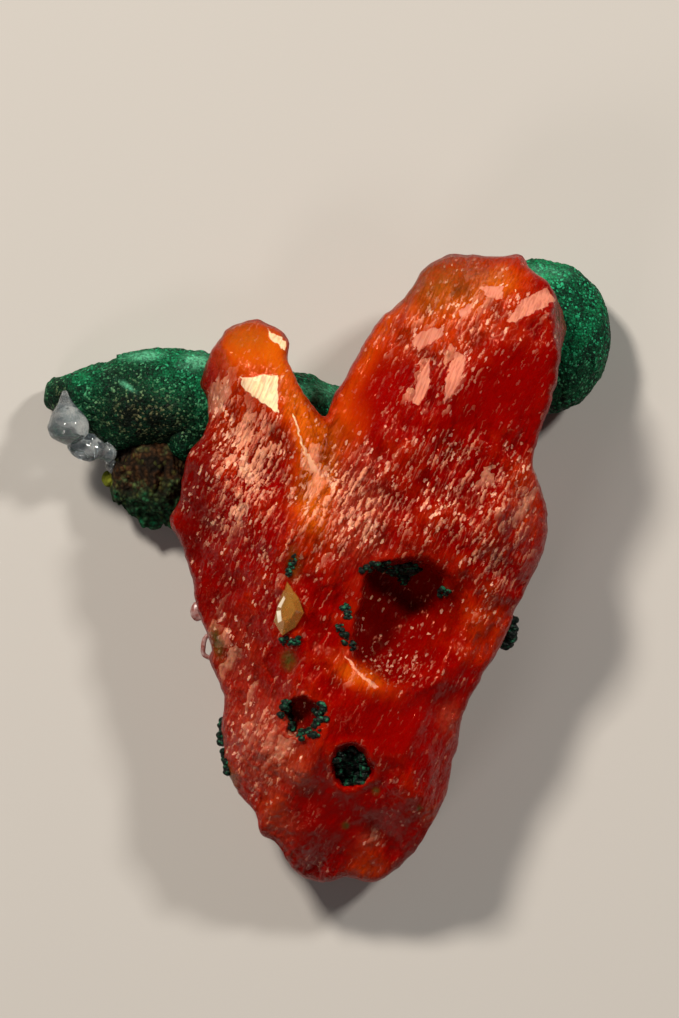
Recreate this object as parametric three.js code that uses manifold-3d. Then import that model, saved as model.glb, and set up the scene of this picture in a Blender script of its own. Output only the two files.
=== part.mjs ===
// A hand specimen of cuprite: two stout red crystals grown together in a V, hollowed by a
// cavity and two pits, with malachite grown on the back and small green crusts in the hollows.
// It lies on its back. Millimetres, +X to the right and +Y up across the specimen, +Z up off
// the surface that it lies on. The origin is under the middle of the whole specimen.
import * as THREE from "three";
import { mergeVertices } from "three/addons/utils/BufferGeometryUtils.js";
import Module from "manifold-3d";

const wasm = await Module();
wasm.setup();

// Driving dimensions, in millimetres and degrees
const CELLS_ACROSS = 25;
const CELLS_ALONG = 38;
const GAP = 0.15; // between touching minerals
const RIM_HALF = 0.2; // half the thickness of the broken edge all round the cuprite
const RIM_STEP = 0.4; // least height of the front over the edge
const FRONT_ROUNDING = 1.0; // how far in from the edge the front takes to reach its height
const BACK_ROUNDING = 1.5;
const FACE_SOFTNESS = 0.1; // how rounded the edges between crystal faces are
const JOIN_SOFTNESS = 0.3; // how rounded the valleys between crystals are
const RIM_AT_TIP = { y: -12.6, z: 1.9 };
const RIM_AT_TOP = { y: 12.6, z: 4.6 };

// Outline of the cuprite seen from above, [x, y], one list for each side of the V
const TIP_EDGE = [
  [-1.7, -11.62], [-0.98, -12.42], [-0.1, -12.62], [0.7, -12.42], [1.9, -12.58], [2.9, -11.9], [3.5, -11.34],
];
const LEFT_EDGE = [
  [-1.7, -11.62], [-2.02, -11.02], [-2.62, -10.62], [-2.9, -9.7], [-3.5, -9.02], [-4.06, -8.02], [-4.14, -7.02],
  [-4.26, -6.22], [-4.1, -5.42], [-4.22, -4.82], [-4.74, -3.7], [-4.66, -3.2], [-4.8, -2.7], [-5.1, -2.0],
  [-5.26, -1.22], [-5.5, -0.02], [-5.82, 0.98], [-6.3, 1.98], [-5.9, 2.78], [-5.78, 3.58], [-5.58, 4.58],
  [-5.1, 5.18], [-4.78, 5.98], [-4.82, 6.86], [-5.06, 7.38], [-4.98, 7.9], [-4.7, 8.7],
];
const RIGHT_EDGE = [
  [3.5, -11.34], [4.1, -10.34], [4.5, -9.54], [4.82, -8.82], [4.98, -7.62], [5.22, -7.02], [5.42, -5.7],
  [6.1, -4.38], [6.78, -3.26], [7.38, -2.02], [7.46, -1.62], [8.02, -0.58], [8.54, 0.58], [8.74, 1.58],
  [8.66, 2.78], [8.18, 4.18], [8.34, 5.18], [8.98, 6.98], [9.22, 8.38], [9.5, 9.78], [9.1, 10.86], [8.7, 11.5],
];
const TOP_EDGE = [
  [-4.7, 8.7], [-4.3, 9.26], [-3.7, 9.78], [-2.9, 10.02], [-2.5, 9.9], [-1.78, 9.46], [-1.54, 9.1], [-1.6, 8.7],
  [-1.5, 8.18], [-0.7, 6.66], [-0.1, 6.1], [0.3, 7.06], [0.7, 7.58], [1.3, 8.78], [2.1, 9.98], [3.22, 11.06],
  [3.7, 11.86], [4.5, 12.46], [5.1, 12.62], [6.9, 12.46], [7.74, 12.5], [8.02, 11.98], [8.7, 11.5],
];

// Crystal faces: each plane passes through (x, y, z) and falls by `slope` degrees towards the
// bearing `towards`, in degrees anticlockwise from +X
const SHORT_CRYSTAL = [
  { x: -1.2, y: 6.2, z: 7.8, slope: 36, towards: 197 }, // left flank
  { x: -1.2, y: 6.2, z: 7.8, slope: 54, towards: 20 }, // inner side, down to the notch
  { x: -2.6, y: 7.1, z: 6.85, slope: 14, towards: 118 }, // flat mirror-bright facet
  { x: -2.9, y: 8.0, z: 6.7, slope: 36, towards: 96 }, // domed end
  { x: -3.3, y: 1.8, z: 6.9, slope: 22, towards: 265 }, // end that is lost in the trunk
];
const TALL_CRYSTAL = [
  { x: 6.6, y: 8.6, z: 8.6, slope: 27, towards: 118 }, // upper band
  { x: 6.6, y: 8.6, z: 8.6, slope: 20, towards: 318 }, // smooth dark face
  { x: 3.4, y: 7.6, z: 7.7, slope: 38, towards: 150 }, // inner side, down to the notch
  { x: 8.5, y: 8.4, z: 7.5, slope: 60, towards: 8 }, // narrow striated side
  { x: 5.6, y: 11.5, z: 7.0, slope: 46, towards: 95 }, // broken top
  { x: 5.4, y: 2.6, z: 8.0, slope: 30, towards: 262 }, // end that is lost in the trunk
];
const TRUNK = [
  { x: 2.9, y: -1.2, z: 8.0, slope: 4, towards: 262 }, // broad front
  { x: 1.3, y: -7.8, z: 7.2, slope: 39, towards: 266 }, // slope to the tip
  { x: 5.7, y: -2.8, z: 7.3, slope: 46, towards: 333 }, // right shoulder
  { x: -1.5, y: -4.0, z: 7.3, slope: 38, towards: 197 }, // left shoulder
  { x: 7.3, y: 2.0, z: 7.5, slope: 48, towards: 12 }, // right side
  { x: 0.6, y: 3.2, z: 7.4, slope: 36, towards: 92 }, // up into the notch
];

// Swellings and shallow hollows of the front: centre, reach, and height
const SWELLINGS = [
  { x: -2.7, y: -7.1, radius: 1.5, height: 0.85 }, // lower left bulge
  { x: 7.5, y: 2.4, radius: 1.5, height: 0.5 }, // right shoulder bulge
  { x: 1.4, y: -4.9, radius: 1.4, height: 0.55 }, // lip under the cavity
  { x: -1.0, y: 1.6, radius: 1.5, height: 0.3 }, // saddle
  { x: 4.9, y: -1.6, radius: 1.9, height: -1.5 }, // gentle side of the cavity
  { x: 4.2, y: -5.2, radius: 1.1, height: -0.6 },
  { x: -0.8, y: -10.6, radius: 1.1, height: 0.4 },
  { x: 3.2, y: -9.2, radius: 1.2, height: 0.45 },
  { x: 2.0, y: -10.4, radius: 0.8, height: -0.35 },
];
const CAVITY = { at: [2.75, -2.0, 7.3], size: [2.4, 2.25, 2.9], lean: 30, detail: 5 };
const PITS = [
  { x: -0.98, y: -5.86, radius: 0.8, depth: 1.1 },
  { x: 0.96, y: -7.8, radius: 0.88, depth: 1.2 },
];
const BACK_RISE = { y: -1.0, slope: 11.5, dip: 0.25 }; // the back lies flat below this y

// Broad unevenness of the etched surface: height, waves each way, and start, of crossing waves
const WAVES = [
  { height: 0.09, x: 1.7, y: 0.6, start: 0 },
  { height: 0.08, x: -0.5, y: 0.9, start: 1.6 },
  { height: 0.07, x: 2.6, y: -2.0, start: 1 },
  { height: 0.05, x: 2.2, y: 3.7, start: 2 },
];

// Small growths fused to the left edge
const FLAKE = { at: [-5.3, -1.72, 2.5], size: [0.28, 0.42, 0.18], detail: 1, knobs: 0.1 };
const LOOP = {
  path: [[-4.4, -2.6, 2.4], [-4.88, -2.72, 2.5], [-5.02, -3.15, 2.5], [-4.95, -3.5, 2.4], [-4.4, -3.72, 2.3]],
  radius: 0.1,
  sides: 6,
  steps: 10,
};

// Malachite on the back. Each section of the arm is [x, upper edge, lower edge, height].
const ARM = {
  sections: [
    [-11.5, 7.95, 6.2, 2.5], [-10.9, 8.1, 5.9, 2.9], [-9.6, 8.5, 5.2, 3.5], [-8.4, 8.75, 4.6, 4.0],
    [-7.2, 8.9, 4.75, 4.3], [-6.0, 8.8, 4.6, 4.2], [-4.8, 8.7, 4.6, 4.1], [-3.0, 8.4, 4.4, 4.0],
    [-0.8, 7.9, 4.2, 3.9], [0.7, 7.3, 4.3, 3.6], [2.2, 6.6, 4.6, 3.0], [3.0, 6.2, 5.2, 2.2],
  ],
  around: 16,
  along: 20,
  knobs: 0.07,
  bluntness: 0.3,
  middle: 0.42, // height of its widest part, as a share of its height
};
const SKIRT = { at: [-5.7, 5.35, 2.3], size: [0.8, 0.85, 1.2], detail: 2, knobs: 0.08 };
const NODULE = { at: [8.87, 9.42, 2.4], size: [2.65, 3.05, 2.6], detail: 4, knobs: 0.06 };
const LIMONITE = { at: [-7.1, 3.7, 1.5], size: [1.75, 1.9, 1.6], detail: 3, knobs: 0.16 };
const DROP = [
  { at: [-10.45, 5.65, 3.2], size: [0.95, 1.2, 1.0], detail: 2, knobs: 0.03 },
  { at: [-10.75, 6.9, 2.9], size: [0.6, 0.9, 0.6], detail: 1, knobs: 0.05 },
  { at: [-9.85, 5.05, 2.7], size: [1.05, 0.8, 0.8], detail: 1, knobs: 0.05 },
  { at: [-9.1, 4.5, 2.3], size: [0.85, 0.62, 0.65], detail: 1, knobs: 0.05 },
];
const AMBER = {
  outline: [[-1.6, -0.4], [-1.1, -1.1], [-0.9, -1.7], [-1.25, -2.3], [-1.8, -2.65], [-2.15, -2.05], [-1.95, -1.3]],
  peak: [-1.55, -1.45],
  taper: 0.42,
  foot: 0.7,
  height: 0.75,
};

// Small green crusts: each knob is [x, y, half width, half height, turn, height over the front]
const CRUST_THICKNESS = 0.36;
const CRUST_KNOBS = 0.16;
const CRUSTS = {
  cavity_crust_brow: [
    [1.6, -0.05, 0.5, 0.26, 20, -0.75], [2.4, 0.1, 0.55, 0.3, -6, -0.7], [3.15, -0.1, 0.5, 0.34, -4, -0.8],
  ],
  cavity_crust_wall: [[0.74, -1.6, 0.26, 0.38, -25, -0.6]],
  cavity_crust_sill: [[0.55, -2.4, 0.2, 0.34, 25, -0.4], [0.9, -2.95, 0.2, 0.44, 38, -0.4]],
  cavity_crust_speck: [[4.62, -0.9, 0.27, 0.22, -20, -0.1]],
  pit_crust_left: [[-1.6, -5.6, 0.3, 0.44, 20, 0]],
  pit_crust_right: [[-0.42, -5.85, 0.28, 0.6, -8, -0.1], [-0.75, -6.45, 0.38, 0.24, 25, -0.1]],
  pit_crust_cluster: [
    [0.7, -7.75, 0.5, 0.4, -20, -0.75], [1.3, -8.15, 0.4, 0.42, 10, -0.6], [1.0, -7.3, 0.44, 0.3, 0, -0.5],
  ],
  seam_crust_upper: [[-1.42, 0.12, 0.22, 0.46, -28, 0.06]],
  seam_crust_lower: [[-1.38, -2.84, 0.44, 0.22, 4, 0.06]],
  left_crust_upper: [[-4.1, -6.6, 0.28, 0.44, 0, 0.1]],
  left_crust_lower: [[-3.85, -7.75, 0.34, 0.4, 20, 0.1]],
};
const RIGHT_CRUST = { at: [7.2, -2.55, 2.6], size: [0.42, 0.5, 0.6], detail: 2, knobs: 0.16 };

const COLOURS = {
  cuprite: [0xb01408, 0.3],
  malachite: [0x0f6a43, 0.7],
  limonite: [0x2b2a1c, 0.85],
  chalcedony: [0x8ea3aa, 0.2],
  amber: [0xb8721c, 0.15],
  crust: [0x0c3a2a, 0.75],
};

const radians = THREE.MathUtils.degToRad;
const clamp = THREE.MathUtils.clamp;
const lerp = THREE.MathUtils.lerp;
const sum = (list, value) => list.reduce((total, item) => total + value(item), 0);

// The rounded least and greatest of a list: a sum of exponentials in place of a hard corner.
const softMin = (heights, softness) => -softness * Math.log(sum(heights, (h) => Math.exp(-h / softness)));
const softMax = (heights, softness) => softness * Math.log(sum(heights, (h) => Math.exp(h / softness)));

function planeHeight(face, x, y) {
  const bearing = radians(face.towards);
  const along = (x - face.x) * Math.cos(bearing) + (y - face.y) * Math.sin(bearing);
  return face.z - Math.tan(radians(face.slope)) * along;
}

const crystalHeight = (faces, x, y) =>
  softMin(
    faces.map((face) => planeHeight(face, x, y)),
    FACE_SOFTNESS,
  );

const unevenness = (x, y) => sum(WAVES, (wave) => wave.height * Math.sin(wave.x * x + wave.y * y + wave.start));

const swelling = (x, y) =>
  sum(SWELLINGS, (s) => s.height * Math.exp(-((x - s.x) ** 2 + (y - s.y) ** 2) / s.radius ** 2));

const frontHeight = (x, y) =>
  softMax(
    [SHORT_CRYSTAL, TALL_CRYSTAL, TRUNK].map((faces) => crystalHeight(faces, x, y)),
    JOIN_SOFTNESS,
  ) +
  swelling(x, y) +
  unevenness(x, y);

const backHeight = (x, y) =>
  Math.max(0, Math.tan(radians(BACK_RISE.slope)) * (y - BACK_RISE.y) - BACK_RISE.dip + unevenness(y, x));

const rimHeight = (y) => THREE.MathUtils.mapLinear(y, RIM_AT_TIP.y, RIM_AT_TOP.y, RIM_AT_TIP.z, RIM_AT_TOP.z);

const edgeCurve = (points) => new THREE.SplineCurve(points.map(([x, y]) => new THREE.Vector2(x, y)));
const tipEdge = edgeCurve(TIP_EDGE);
const leftEdge = edgeCurve(LEFT_EDGE);
const rightEdge = edgeCurve(RIGHT_EDGE);
const topEdge = edgeCurve(TOP_EDGE);
const outline = [tipEdge, rightEdge, topEdge, leftEdge].flatMap((edge) => edge.getPoints(60));

// A place inside the outline: the four edges blended across (u from left to right, v from tip
// to top), less what the corners would add twice.
function place(u, v) {
  const blended = new THREE.Vector2()
    .addScaledVector(tipEdge.getPointAt(u), 1 - v)
    .addScaledVector(topEdge.getPointAt(u), v)
    .addScaledVector(leftEdge.getPointAt(v), 1 - u)
    .addScaledVector(rightEdge.getPointAt(v), u);
  for (const [edge, weight] of [[tipEdge, 1 - v], [topEdge, v]]) {
    blended.addScaledVector(edge.getPoint(0), -weight * (1 - u));
    blended.addScaledVector(edge.getPoint(1), -weight * u);
  }
  return blended;
}

const distanceToOutline = (point) => Math.min(...outline.map((p) => p.distanceTo(point)));

// A quarter of a circle from the edge inwards: 0 on the edge, 1 from `reach` inwards.
const rounding = (distance, reach) => Math.sqrt(1 - (1 - clamp(distance / reach, 0, 1)) ** 2);

function frontSurface(point, distance) {
  const rim = rimHeight(point.y);
  const front = Math.max(frontHeight(point.x, point.y), rim + RIM_STEP);
  return lerp(rim + RIM_HALF, front, rounding(distance, FRONT_ROUNDING));
}

const backSurface = (point, distance) =>
  lerp(rimHeight(point.y) - RIM_HALF, backHeight(point.x, point.y), rounding(distance, BACK_ROUNDING));

// Moves every vertex of a geometry with `move`, then merges the doubled ones.
function moved(geometry, move) {
  geometry.deleteAttribute("normal");
  geometry.deleteAttribute("uv");
  const position = geometry.getAttribute("position");
  const vertex = new THREE.Vector3();
  for (let i = 0; i < position.count; i++) {
    move(vertex.fromBufferAttribute(position, i));
    position.setXYZ(i, vertex.x, vertex.y, vertex.z);
  }
  return mergeVertices(geometry, 1e-4);
}

function solidOf(geometry) {
  return new wasm.Manifold(
    new wasm.Mesh({
      numProp: 3,
      vertProperties: geometry.getAttribute("position").array,
      triVerts: new Uint32Array(geometry.index.array),
    }),
  );
}

function geometryOf(solid) {
  const mesh = solid.getMesh();
  return new THREE.BufferGeometry()
    .setAttribute("position", new THREE.BufferAttribute(mesh.vertProperties, 3))
    .setIndex(new THREE.BufferAttribute(mesh.triVerts, 1));
}

const join = (solids) => solids.reduce((whole, solid) => whole.add(solid));
const largest = (solid) => solid.decompose().sort((a, b) => b.volume() - a.volume())[0];

// Splits each cell of four vertices along the diagonal whose middle lies nearer to the surface,
// so that ridges and valleys run along the triangles.
function alignDiagonals(geometry, middleHeight) {
  const position = geometry.getAttribute("position");
  const at = (i) => new THREE.Vector3().fromBufferAttribute(position, i);
  const index = geometry.index;
  for (let i = 0; i < index.count; i += 6) {
    const [a, b, d, , c] = Array.from({ length: 6 }, (_, k) => index.getX(i + k));
    const middle = at(a).add(at(b)).add(at(c)).add(at(d)).divideScalar(4);
    const height = middleHeight(middle);
    const gap = (p, q) => Math.abs((at(p).z + at(q).z) / 2 - height);
    if (gap(a, c) < gap(b, d)) [a, b, c, a, c, d].forEach((corner, k) => index.setX(i + k, corner));
  }
  return geometry;
}

// The body of the cuprite: a box whose front and back are pushed out to the crystal faces and
// whose four sides are the narrow broken edge.
function cupriteBody() {
  const box = new THREE.BoxGeometry(1, 1, 1, CELLS_ACROSS, CELLS_ALONG, 1);
  const position = box.getAttribute("position");
  const vertex = new THREE.Vector3();
  for (let i = 0; i < position.count; i++) {
    vertex.fromBufferAttribute(position, i);
    const point = place(vertex.x + 0.5, vertex.y + 0.5);
    const onEdge = Math.max(Math.abs(vertex.x), Math.abs(vertex.y)) > 0.4999;
    const distance = onEdge ? 0 : distanceToOutline(point);
    position.setXYZ(i, point.x, point.y, (vertex.z > 0 ? frontSurface : backSurface)(point, distance));
  }
  const middleHeight = (middle) => {
    const distance = distanceToOutline(middle);
    const [front, back] = [frontSurface(middle, distance), backSurface(middle, distance)];
    return Math.abs(middle.z - front) < Math.abs(middle.z - back) ? front : back;
  };
  return solidOf(moved(alignDiagonals(box, middleHeight), () => {}));
}

// A knobbly rounded lump, flat where it reaches the surface under the specimen. `grow` makes it
// larger all round, for the bed that its neighbours leave it.
function lump({ at, size, detail, knobs }, grow = 0) {
  const [x0, y0, z0] = at;
  return solidOf(
    moved(new THREE.IcosahedronGeometry(1, detail), (vertex) => {
      const { x, y, z } = vertex;
      const bumps = Math.sin(4.6 * x + 1.6 * z + x0) * Math.sin(4.2 * y + y0) +
        0.6 * Math.sin(8.2 * x + 2) * Math.sin(7.4 * y + 6.6 * z + z0);
      const swell = 1 + knobs * bumps;
      vertex.set(
        x0 + x * (size[0] * swell + grow),
        y0 + y * (size[1] * swell + grow),
        Math.max(0, z0 + z * (size[2] * swell + grow)),
      );
    }),
  );
}

function armSection(x) {
  const { sections } = ARM;
  const next = clamp(sections.findIndex(([start]) => start > x), 1, sections.length - 1);
  const [before, after] = [sections[next - 1], sections[next]];
  const share = clamp((x - before[0]) / (after[0] - before[0]), 0, 1);
  return before.map((value, i) => lerp(value, after[i], share));
}

// The arm of malachite: a sphere with its poles at the arm's ends, each ring of which takes the
// width and height that the arm has there.
function arm(grow = 0) {
  const start = ARM.sections[0][0] - grow;
  const end = ARM.sections[ARM.sections.length - 1][0] + grow;
  const bar = solidOf(
    moved(new THREE.SphereGeometry(1, ARM.around, ARM.along), (vertex) => {
      const bearing = Math.atan2(vertex.x, vertex.z);
      const x = lerp(start, end, 0.5 - vertex.y / 2);
      const [, upper, lower, height] = armSection(x);
      const bumps = Math.sin(2.3 * x) * Math.sin(3 * bearing + 1) + Math.sin(4.1 * x + 2) * Math.sin(5 * bearing);
      const swell = Math.hypot(vertex.x, vertex.z) ** ARM.bluntness * (1 + ARM.knobs * bumps);
      const halfWidth = ((upper - lower) / 2 + grow) * swell;
      const halfHeight = (height * (1 - ARM.middle) + grow) * swell;
      vertex.set(
        x,
        (upper + lower) / 2 + halfWidth * Math.sin(bearing),
        Math.max(0, height * ARM.middle + halfHeight * Math.cos(bearing)),
      );
    }),
  );
  return largest(bar.add(lump(SKIRT, grow)));
}

// A thin handle of cuprite that stands off the left edge.
function loop() {
  const { path, radius, sides, steps } = LOOP;
  const corners = Array.from({ length: sides }, (_, i) => (i / sides) * 2 * Math.PI);
  const section = new THREE.Shape(
    corners.map((turn) => new THREE.Vector2(radius * Math.cos(turn), radius * Math.sin(turn))),
  );
  const extrudePath = new THREE.CatmullRomCurve3(path.map((point) => new THREE.Vector3(...point)));
  return solidOf(moved(new THREE.ExtrudeGeometry(section, { steps, extrudePath, bevelEnabled: false }), () => {}));
}

const cavity = () => {
  const [x, y, z] = CAVITY.at;
  return lump({ ...CAVITY, at: [0, 0, 20], knobs: 0.05 })
    .translate([0, 0, -20])
    .rotate([0, CAVITY.lean, 0])
    .translate([x, y, z]);
};

const pit = ({ x, y, radius, depth }) =>
  lump({ at: [x, y, frontHeight(x, y)], size: [radius, radius, depth], detail: 2, knobs: 0.08 });

// Takes away what lies within the body, and within the gap off it towards `side`.
const seated = (solid, body, [x, y, z]) =>
  largest(solid.subtract(body).subtract(body.translate([x * GAP, y * GAP, z * GAP])));

// A crust is a run of small knobs that rest on the front of the cuprite.
function crust(knobs, body) {
  const solids = knobs.map(([x, y, halfWidth, halfHeight, turn, lift]) => {
    const point = new THREE.Vector2(x, y);
    const height = frontSurface(point, distanceToOutline(point)) + lift;
    return lump({ at: [0, 0, 1], size: [halfWidth, halfHeight, CRUST_THICKNESS], detail: 1, knobs: CRUST_KNOBS })
      .rotate([0, 0, turn])
      .translate([x, y, height - 1]);
  });
  return seated(join(solids), body, [0, 0, 1]);
}

// A flat-faced crystal set in the front: a prism that narrows to a facet, with its foot buried.
function amber(body) {
  const shape = new THREE.Shape(AMBER.outline.map(([x, y]) => new THREE.Vector2(x, y)));
  const depth = AMBER.height + AMBER.foot;
  const foot = frontHeight(...AMBER.peak) - AMBER.foot;
  const prism = moved(new THREE.ExtrudeGeometry(shape, { depth, bevelEnabled: false }), (vertex) => {
    const share = vertex.z > depth / 2 ? AMBER.taper : 0;
    vertex.set(lerp(vertex.x, AMBER.peak[0], share), lerp(vertex.y, AMBER.peak[1], share), vertex.z + foot);
  });
  return seated(solidOf(prism), body, [0, 0, 1]);
}

function mesh(name, solid, look) {
  const [color, roughness] = COLOURS[look];
  const made = new THREE.Mesh(geometryOf(solid), new THREE.MeshStandardMaterial({ color, roughness, metalness: 0 }));
  made.name = name;
  return made;
}

const growths = join([cupriteBody(), lump(FLAKE), loop()]);
const beds = [arm(GAP), lump(NODULE, GAP), lump(LIMONITE, GAP)];
const cuprite = largest([...beds, cavity(), ...PITS.map(pit)].reduce((solid, cutter) => solid.subtract(cutter), growths));
const drop = largest(join(DROP.map((part) => lump(part))).subtract(join([beds[0], beds[2]])));

const specimen = new THREE.Group();
specimen.add(
  mesh("cuprite", cuprite, "cuprite"),
  mesh("malachite_arm", arm(), "malachite"),
  mesh("malachite_nodule", lump(NODULE), "malachite"),
  mesh("limonite_lump", largest(lump(LIMONITE).subtract(beds[0])), "limonite"),
  mesh("chalcedony_bead", drop, "chalcedony"),
  mesh("amber_crystal", amber(cuprite), "amber"),
  mesh("right_crust", seated(lump(RIGHT_CRUST), cuprite, [1, 0, 0]), "crust"),
);
for (const [name, knobs] of Object.entries(CRUSTS)) specimen.add(mesh(name, crust(knobs, cuprite), "crust"));

export default specimen;
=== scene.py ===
# %% [markdown]
# # A cuprite specimen
# The object is a thumbnail-sized mineral specimen: two red, translucent cuprite crystals grown
# together in a V. Velvety green malachite sits behind them, a drop of chalcedony hangs on the
# malachite, and small dark green crusts line the hollows. It lies on its back, and the camera
# looks down on it. All shapes below are worked out in millimetres and put into the mesh in metres.

import bmesh
import bpy
import numpy as np
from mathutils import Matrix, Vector


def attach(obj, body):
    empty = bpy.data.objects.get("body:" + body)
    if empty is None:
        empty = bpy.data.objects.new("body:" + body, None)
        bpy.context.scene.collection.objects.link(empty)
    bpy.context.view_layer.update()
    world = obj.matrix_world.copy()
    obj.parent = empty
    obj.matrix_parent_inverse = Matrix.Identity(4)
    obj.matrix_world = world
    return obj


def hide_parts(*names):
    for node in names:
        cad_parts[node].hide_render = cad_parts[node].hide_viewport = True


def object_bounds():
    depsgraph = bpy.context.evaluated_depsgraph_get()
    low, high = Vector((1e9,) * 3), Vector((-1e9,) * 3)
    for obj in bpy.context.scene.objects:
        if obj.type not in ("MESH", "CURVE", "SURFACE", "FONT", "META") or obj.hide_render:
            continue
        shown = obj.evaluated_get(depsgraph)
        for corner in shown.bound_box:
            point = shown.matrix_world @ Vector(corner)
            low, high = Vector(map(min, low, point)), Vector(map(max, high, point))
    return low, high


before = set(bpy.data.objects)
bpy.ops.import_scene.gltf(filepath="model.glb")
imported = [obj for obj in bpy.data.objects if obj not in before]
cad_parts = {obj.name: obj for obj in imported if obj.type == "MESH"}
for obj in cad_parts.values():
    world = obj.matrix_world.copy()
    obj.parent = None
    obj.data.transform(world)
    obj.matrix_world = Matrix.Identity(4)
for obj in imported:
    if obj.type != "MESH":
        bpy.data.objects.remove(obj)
cad_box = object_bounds()
MM = 0.001
print("CAD box", cad_box)

# %% [markdown]
# ## Meshes from arrays
# Every piece is a surface over two parameters: a rectangular array of points. One helper turns the
# array into four-sided faces, one puts points and faces into a mesh. A sphere-like piece repeats
# its pole all round its first and last ring, so its doubled points are merged afterwards.


# %% Mesh helpers
def quads_of(rows, columns, start=0, closed=False):
    """Faces of a grid: each point with its neighbours one row on, one row and column on, and one
    column on. A closed grid also joins its last column to its first."""
    index = start + np.arange(rows * columns).reshape(rows, columns)
    if closed:
        index = np.hstack([index, index[:, :1]])
    return np.stack([index[:-1, :-1], index[:-1, 1:], index[1:, 1:], index[1:, :-1]], -1).reshape(-1, 4)


def volume_of(points, faces):
    """Volume inside a closed mesh: a sixth of the sum of each triangle's triple product."""
    a, b, c, d = (points[faces[:, k]] for k in range(4))
    return (np.sum(a * np.cross(b, c)) + np.sum(a * np.cross(c, d))) / 6


def piece_of(name, points, faces, smooth=True):
    """A new object at the origin from points in millimetres and four-sided faces, facing outwards."""
    if volume_of(points, faces) < 0:
        faces = faces[:, ::-1]
    mesh = bpy.data.meshes.new(name)
    mesh.vertices.add(len(points))
    mesh.vertices.foreach_set("co", (points * MM).astype(np.float32).ravel())
    mesh.loops.add(faces.size)
    mesh.loops.foreach_set("vertex_index", faces.astype(np.int32).ravel())
    mesh.polygons.add(len(faces))
    mesh.polygons.foreach_set("loop_start", np.arange(0, faces.size, 4, dtype=np.int32))
    mesh.polygons.foreach_set("use_smooth", np.full(len(faces), smooth))
    mesh.update(calc_edges=True)
    mesh.validate()
    piece = bpy.data.objects.new(name, mesh)
    bpy.context.collection.objects.link(piece)
    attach(piece, "root")
    print(f"{name}: {len(points)} points, {2 * len(faces)} triangles")
    return piece


def keep_values(piece, **values):
    """Stores an array of numbers, one for each point, as a named attribute that a material reads."""
    for name, array in values.items():
        layer = piece.data.attributes.new(name, "FLOAT", "POINT")
        layer.data.foreach_set("value", array.astype(np.float32).ravel())


def merge_doubles(piece):
    """Merges points closer than a ten-thousandth of a millimetre, which closes seams and poles."""
    work = bmesh.new()
    work.from_mesh(piece.data)
    bmesh.ops.remove_doubles(work, verts=work.verts, dist=1e-4 * MM)
    work.to_mesh(piece.data)
    work.free()


print("faces of a grid of 3 by 4 points:", len(quads_of(3, 4)))

# %% [markdown]
# ## Unevenness
# Broken and etched stone is uneven at every size. Two functions give it: smooth noise, for swells
# and grains, and plates, for the small flat faces at slightly different tilts that make an etched
# crystal glint. Both start from a fixed number for each cell of a lattice, so each run is the same.


# %% Noise and plates
def hashed(i, j, k, seed):
    """A fixed number from 0 to 1 for each lattice cell: the fraction of a large multiple of a sine."""
    return np.abs(np.sin(i * 127.1 + j * 311.7 + k * 74.7 + seed * 53.3) * 43758.5453) % 1.0


def noise(x, y, z, size, seed=0):
    """Smooth noise from -1 to 1: the cell numbers at a cell's eight corners, mixed with the eased
    share of the way across the cell, 3t^2 - 2t^3. Cells are `size` millimetres wide."""
    grid = [np.asarray(c) / size + 0 * (x + y + z) for c in (x, y, z)]
    cell = [np.floor(c) for c in grid]
    share = [(c - f) ** 2 * (3 - 2 * (c - f)) for c, f in zip(grid, cell)]
    total = 0
    for corner in np.ndindex(2, 2, 2):
        weight = np.prod([s if on else 1 - s for s, on in zip(share, corner)], axis=0)
        total = total + weight * hashed(*[c + on for c, on in zip(cell, corner)], seed)
    return 2 * total - 1


def rough(x, y, z, size, layers=3, seed=0):
    """Noise upon noise: each layer has half the size and half the height of the one before."""
    return sum(noise(x, y, z, size / 2**k, seed + k) / 2**k for k in range(layers))


def plates(x, y, length, width, bearing, seed=0):
    """Small tilted plates. Each point belongs to the nearest of a jittered lattice of centres,
    measured along and across `bearing`. The height is a plane through that centre with a slope of
    its own, so it runs from about -1 to 1."""
    turn = np.radians(bearing)
    a = (x * np.cos(turn) + y * np.sin(turn)) / length
    b = (y * np.cos(turn) - x * np.sin(turn)) / width
    nearest = np.full(np.shape(a), 9.0)
    height = np.zeros(np.shape(a))
    for di, dj in np.ndindex(3, 3):
        i, j = np.floor(a) + di - 1, np.floor(b) + dj - 1
        da = a - i - hashed(i, j, 1, seed)
        db = b - j - hashed(i, j, 2, seed)
        far = da**2 + db**2
        slope_a = 2 * hashed(i, j, 3, seed) - 1
        slope_b = 2 * hashed(i, j, 4, seed) - 1
        height = np.where(far < nearest, slope_a * da + slope_b * db, height)
        nearest = np.minimum(far, nearest)
    return height


print("noise at the origin", float(noise(0.0, 0.0, 0.0, 1.0)))

# %% [markdown]
# ## The cuprite: its outline
# Seen from the front the crystals make a V with a blunt tip. The outline is traced as four edges,
# and each is a smooth curve through a few points. A grid is then stretched between the four edges:
# opposite edges are blended across and what the corners would add twice is taken off.

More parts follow.
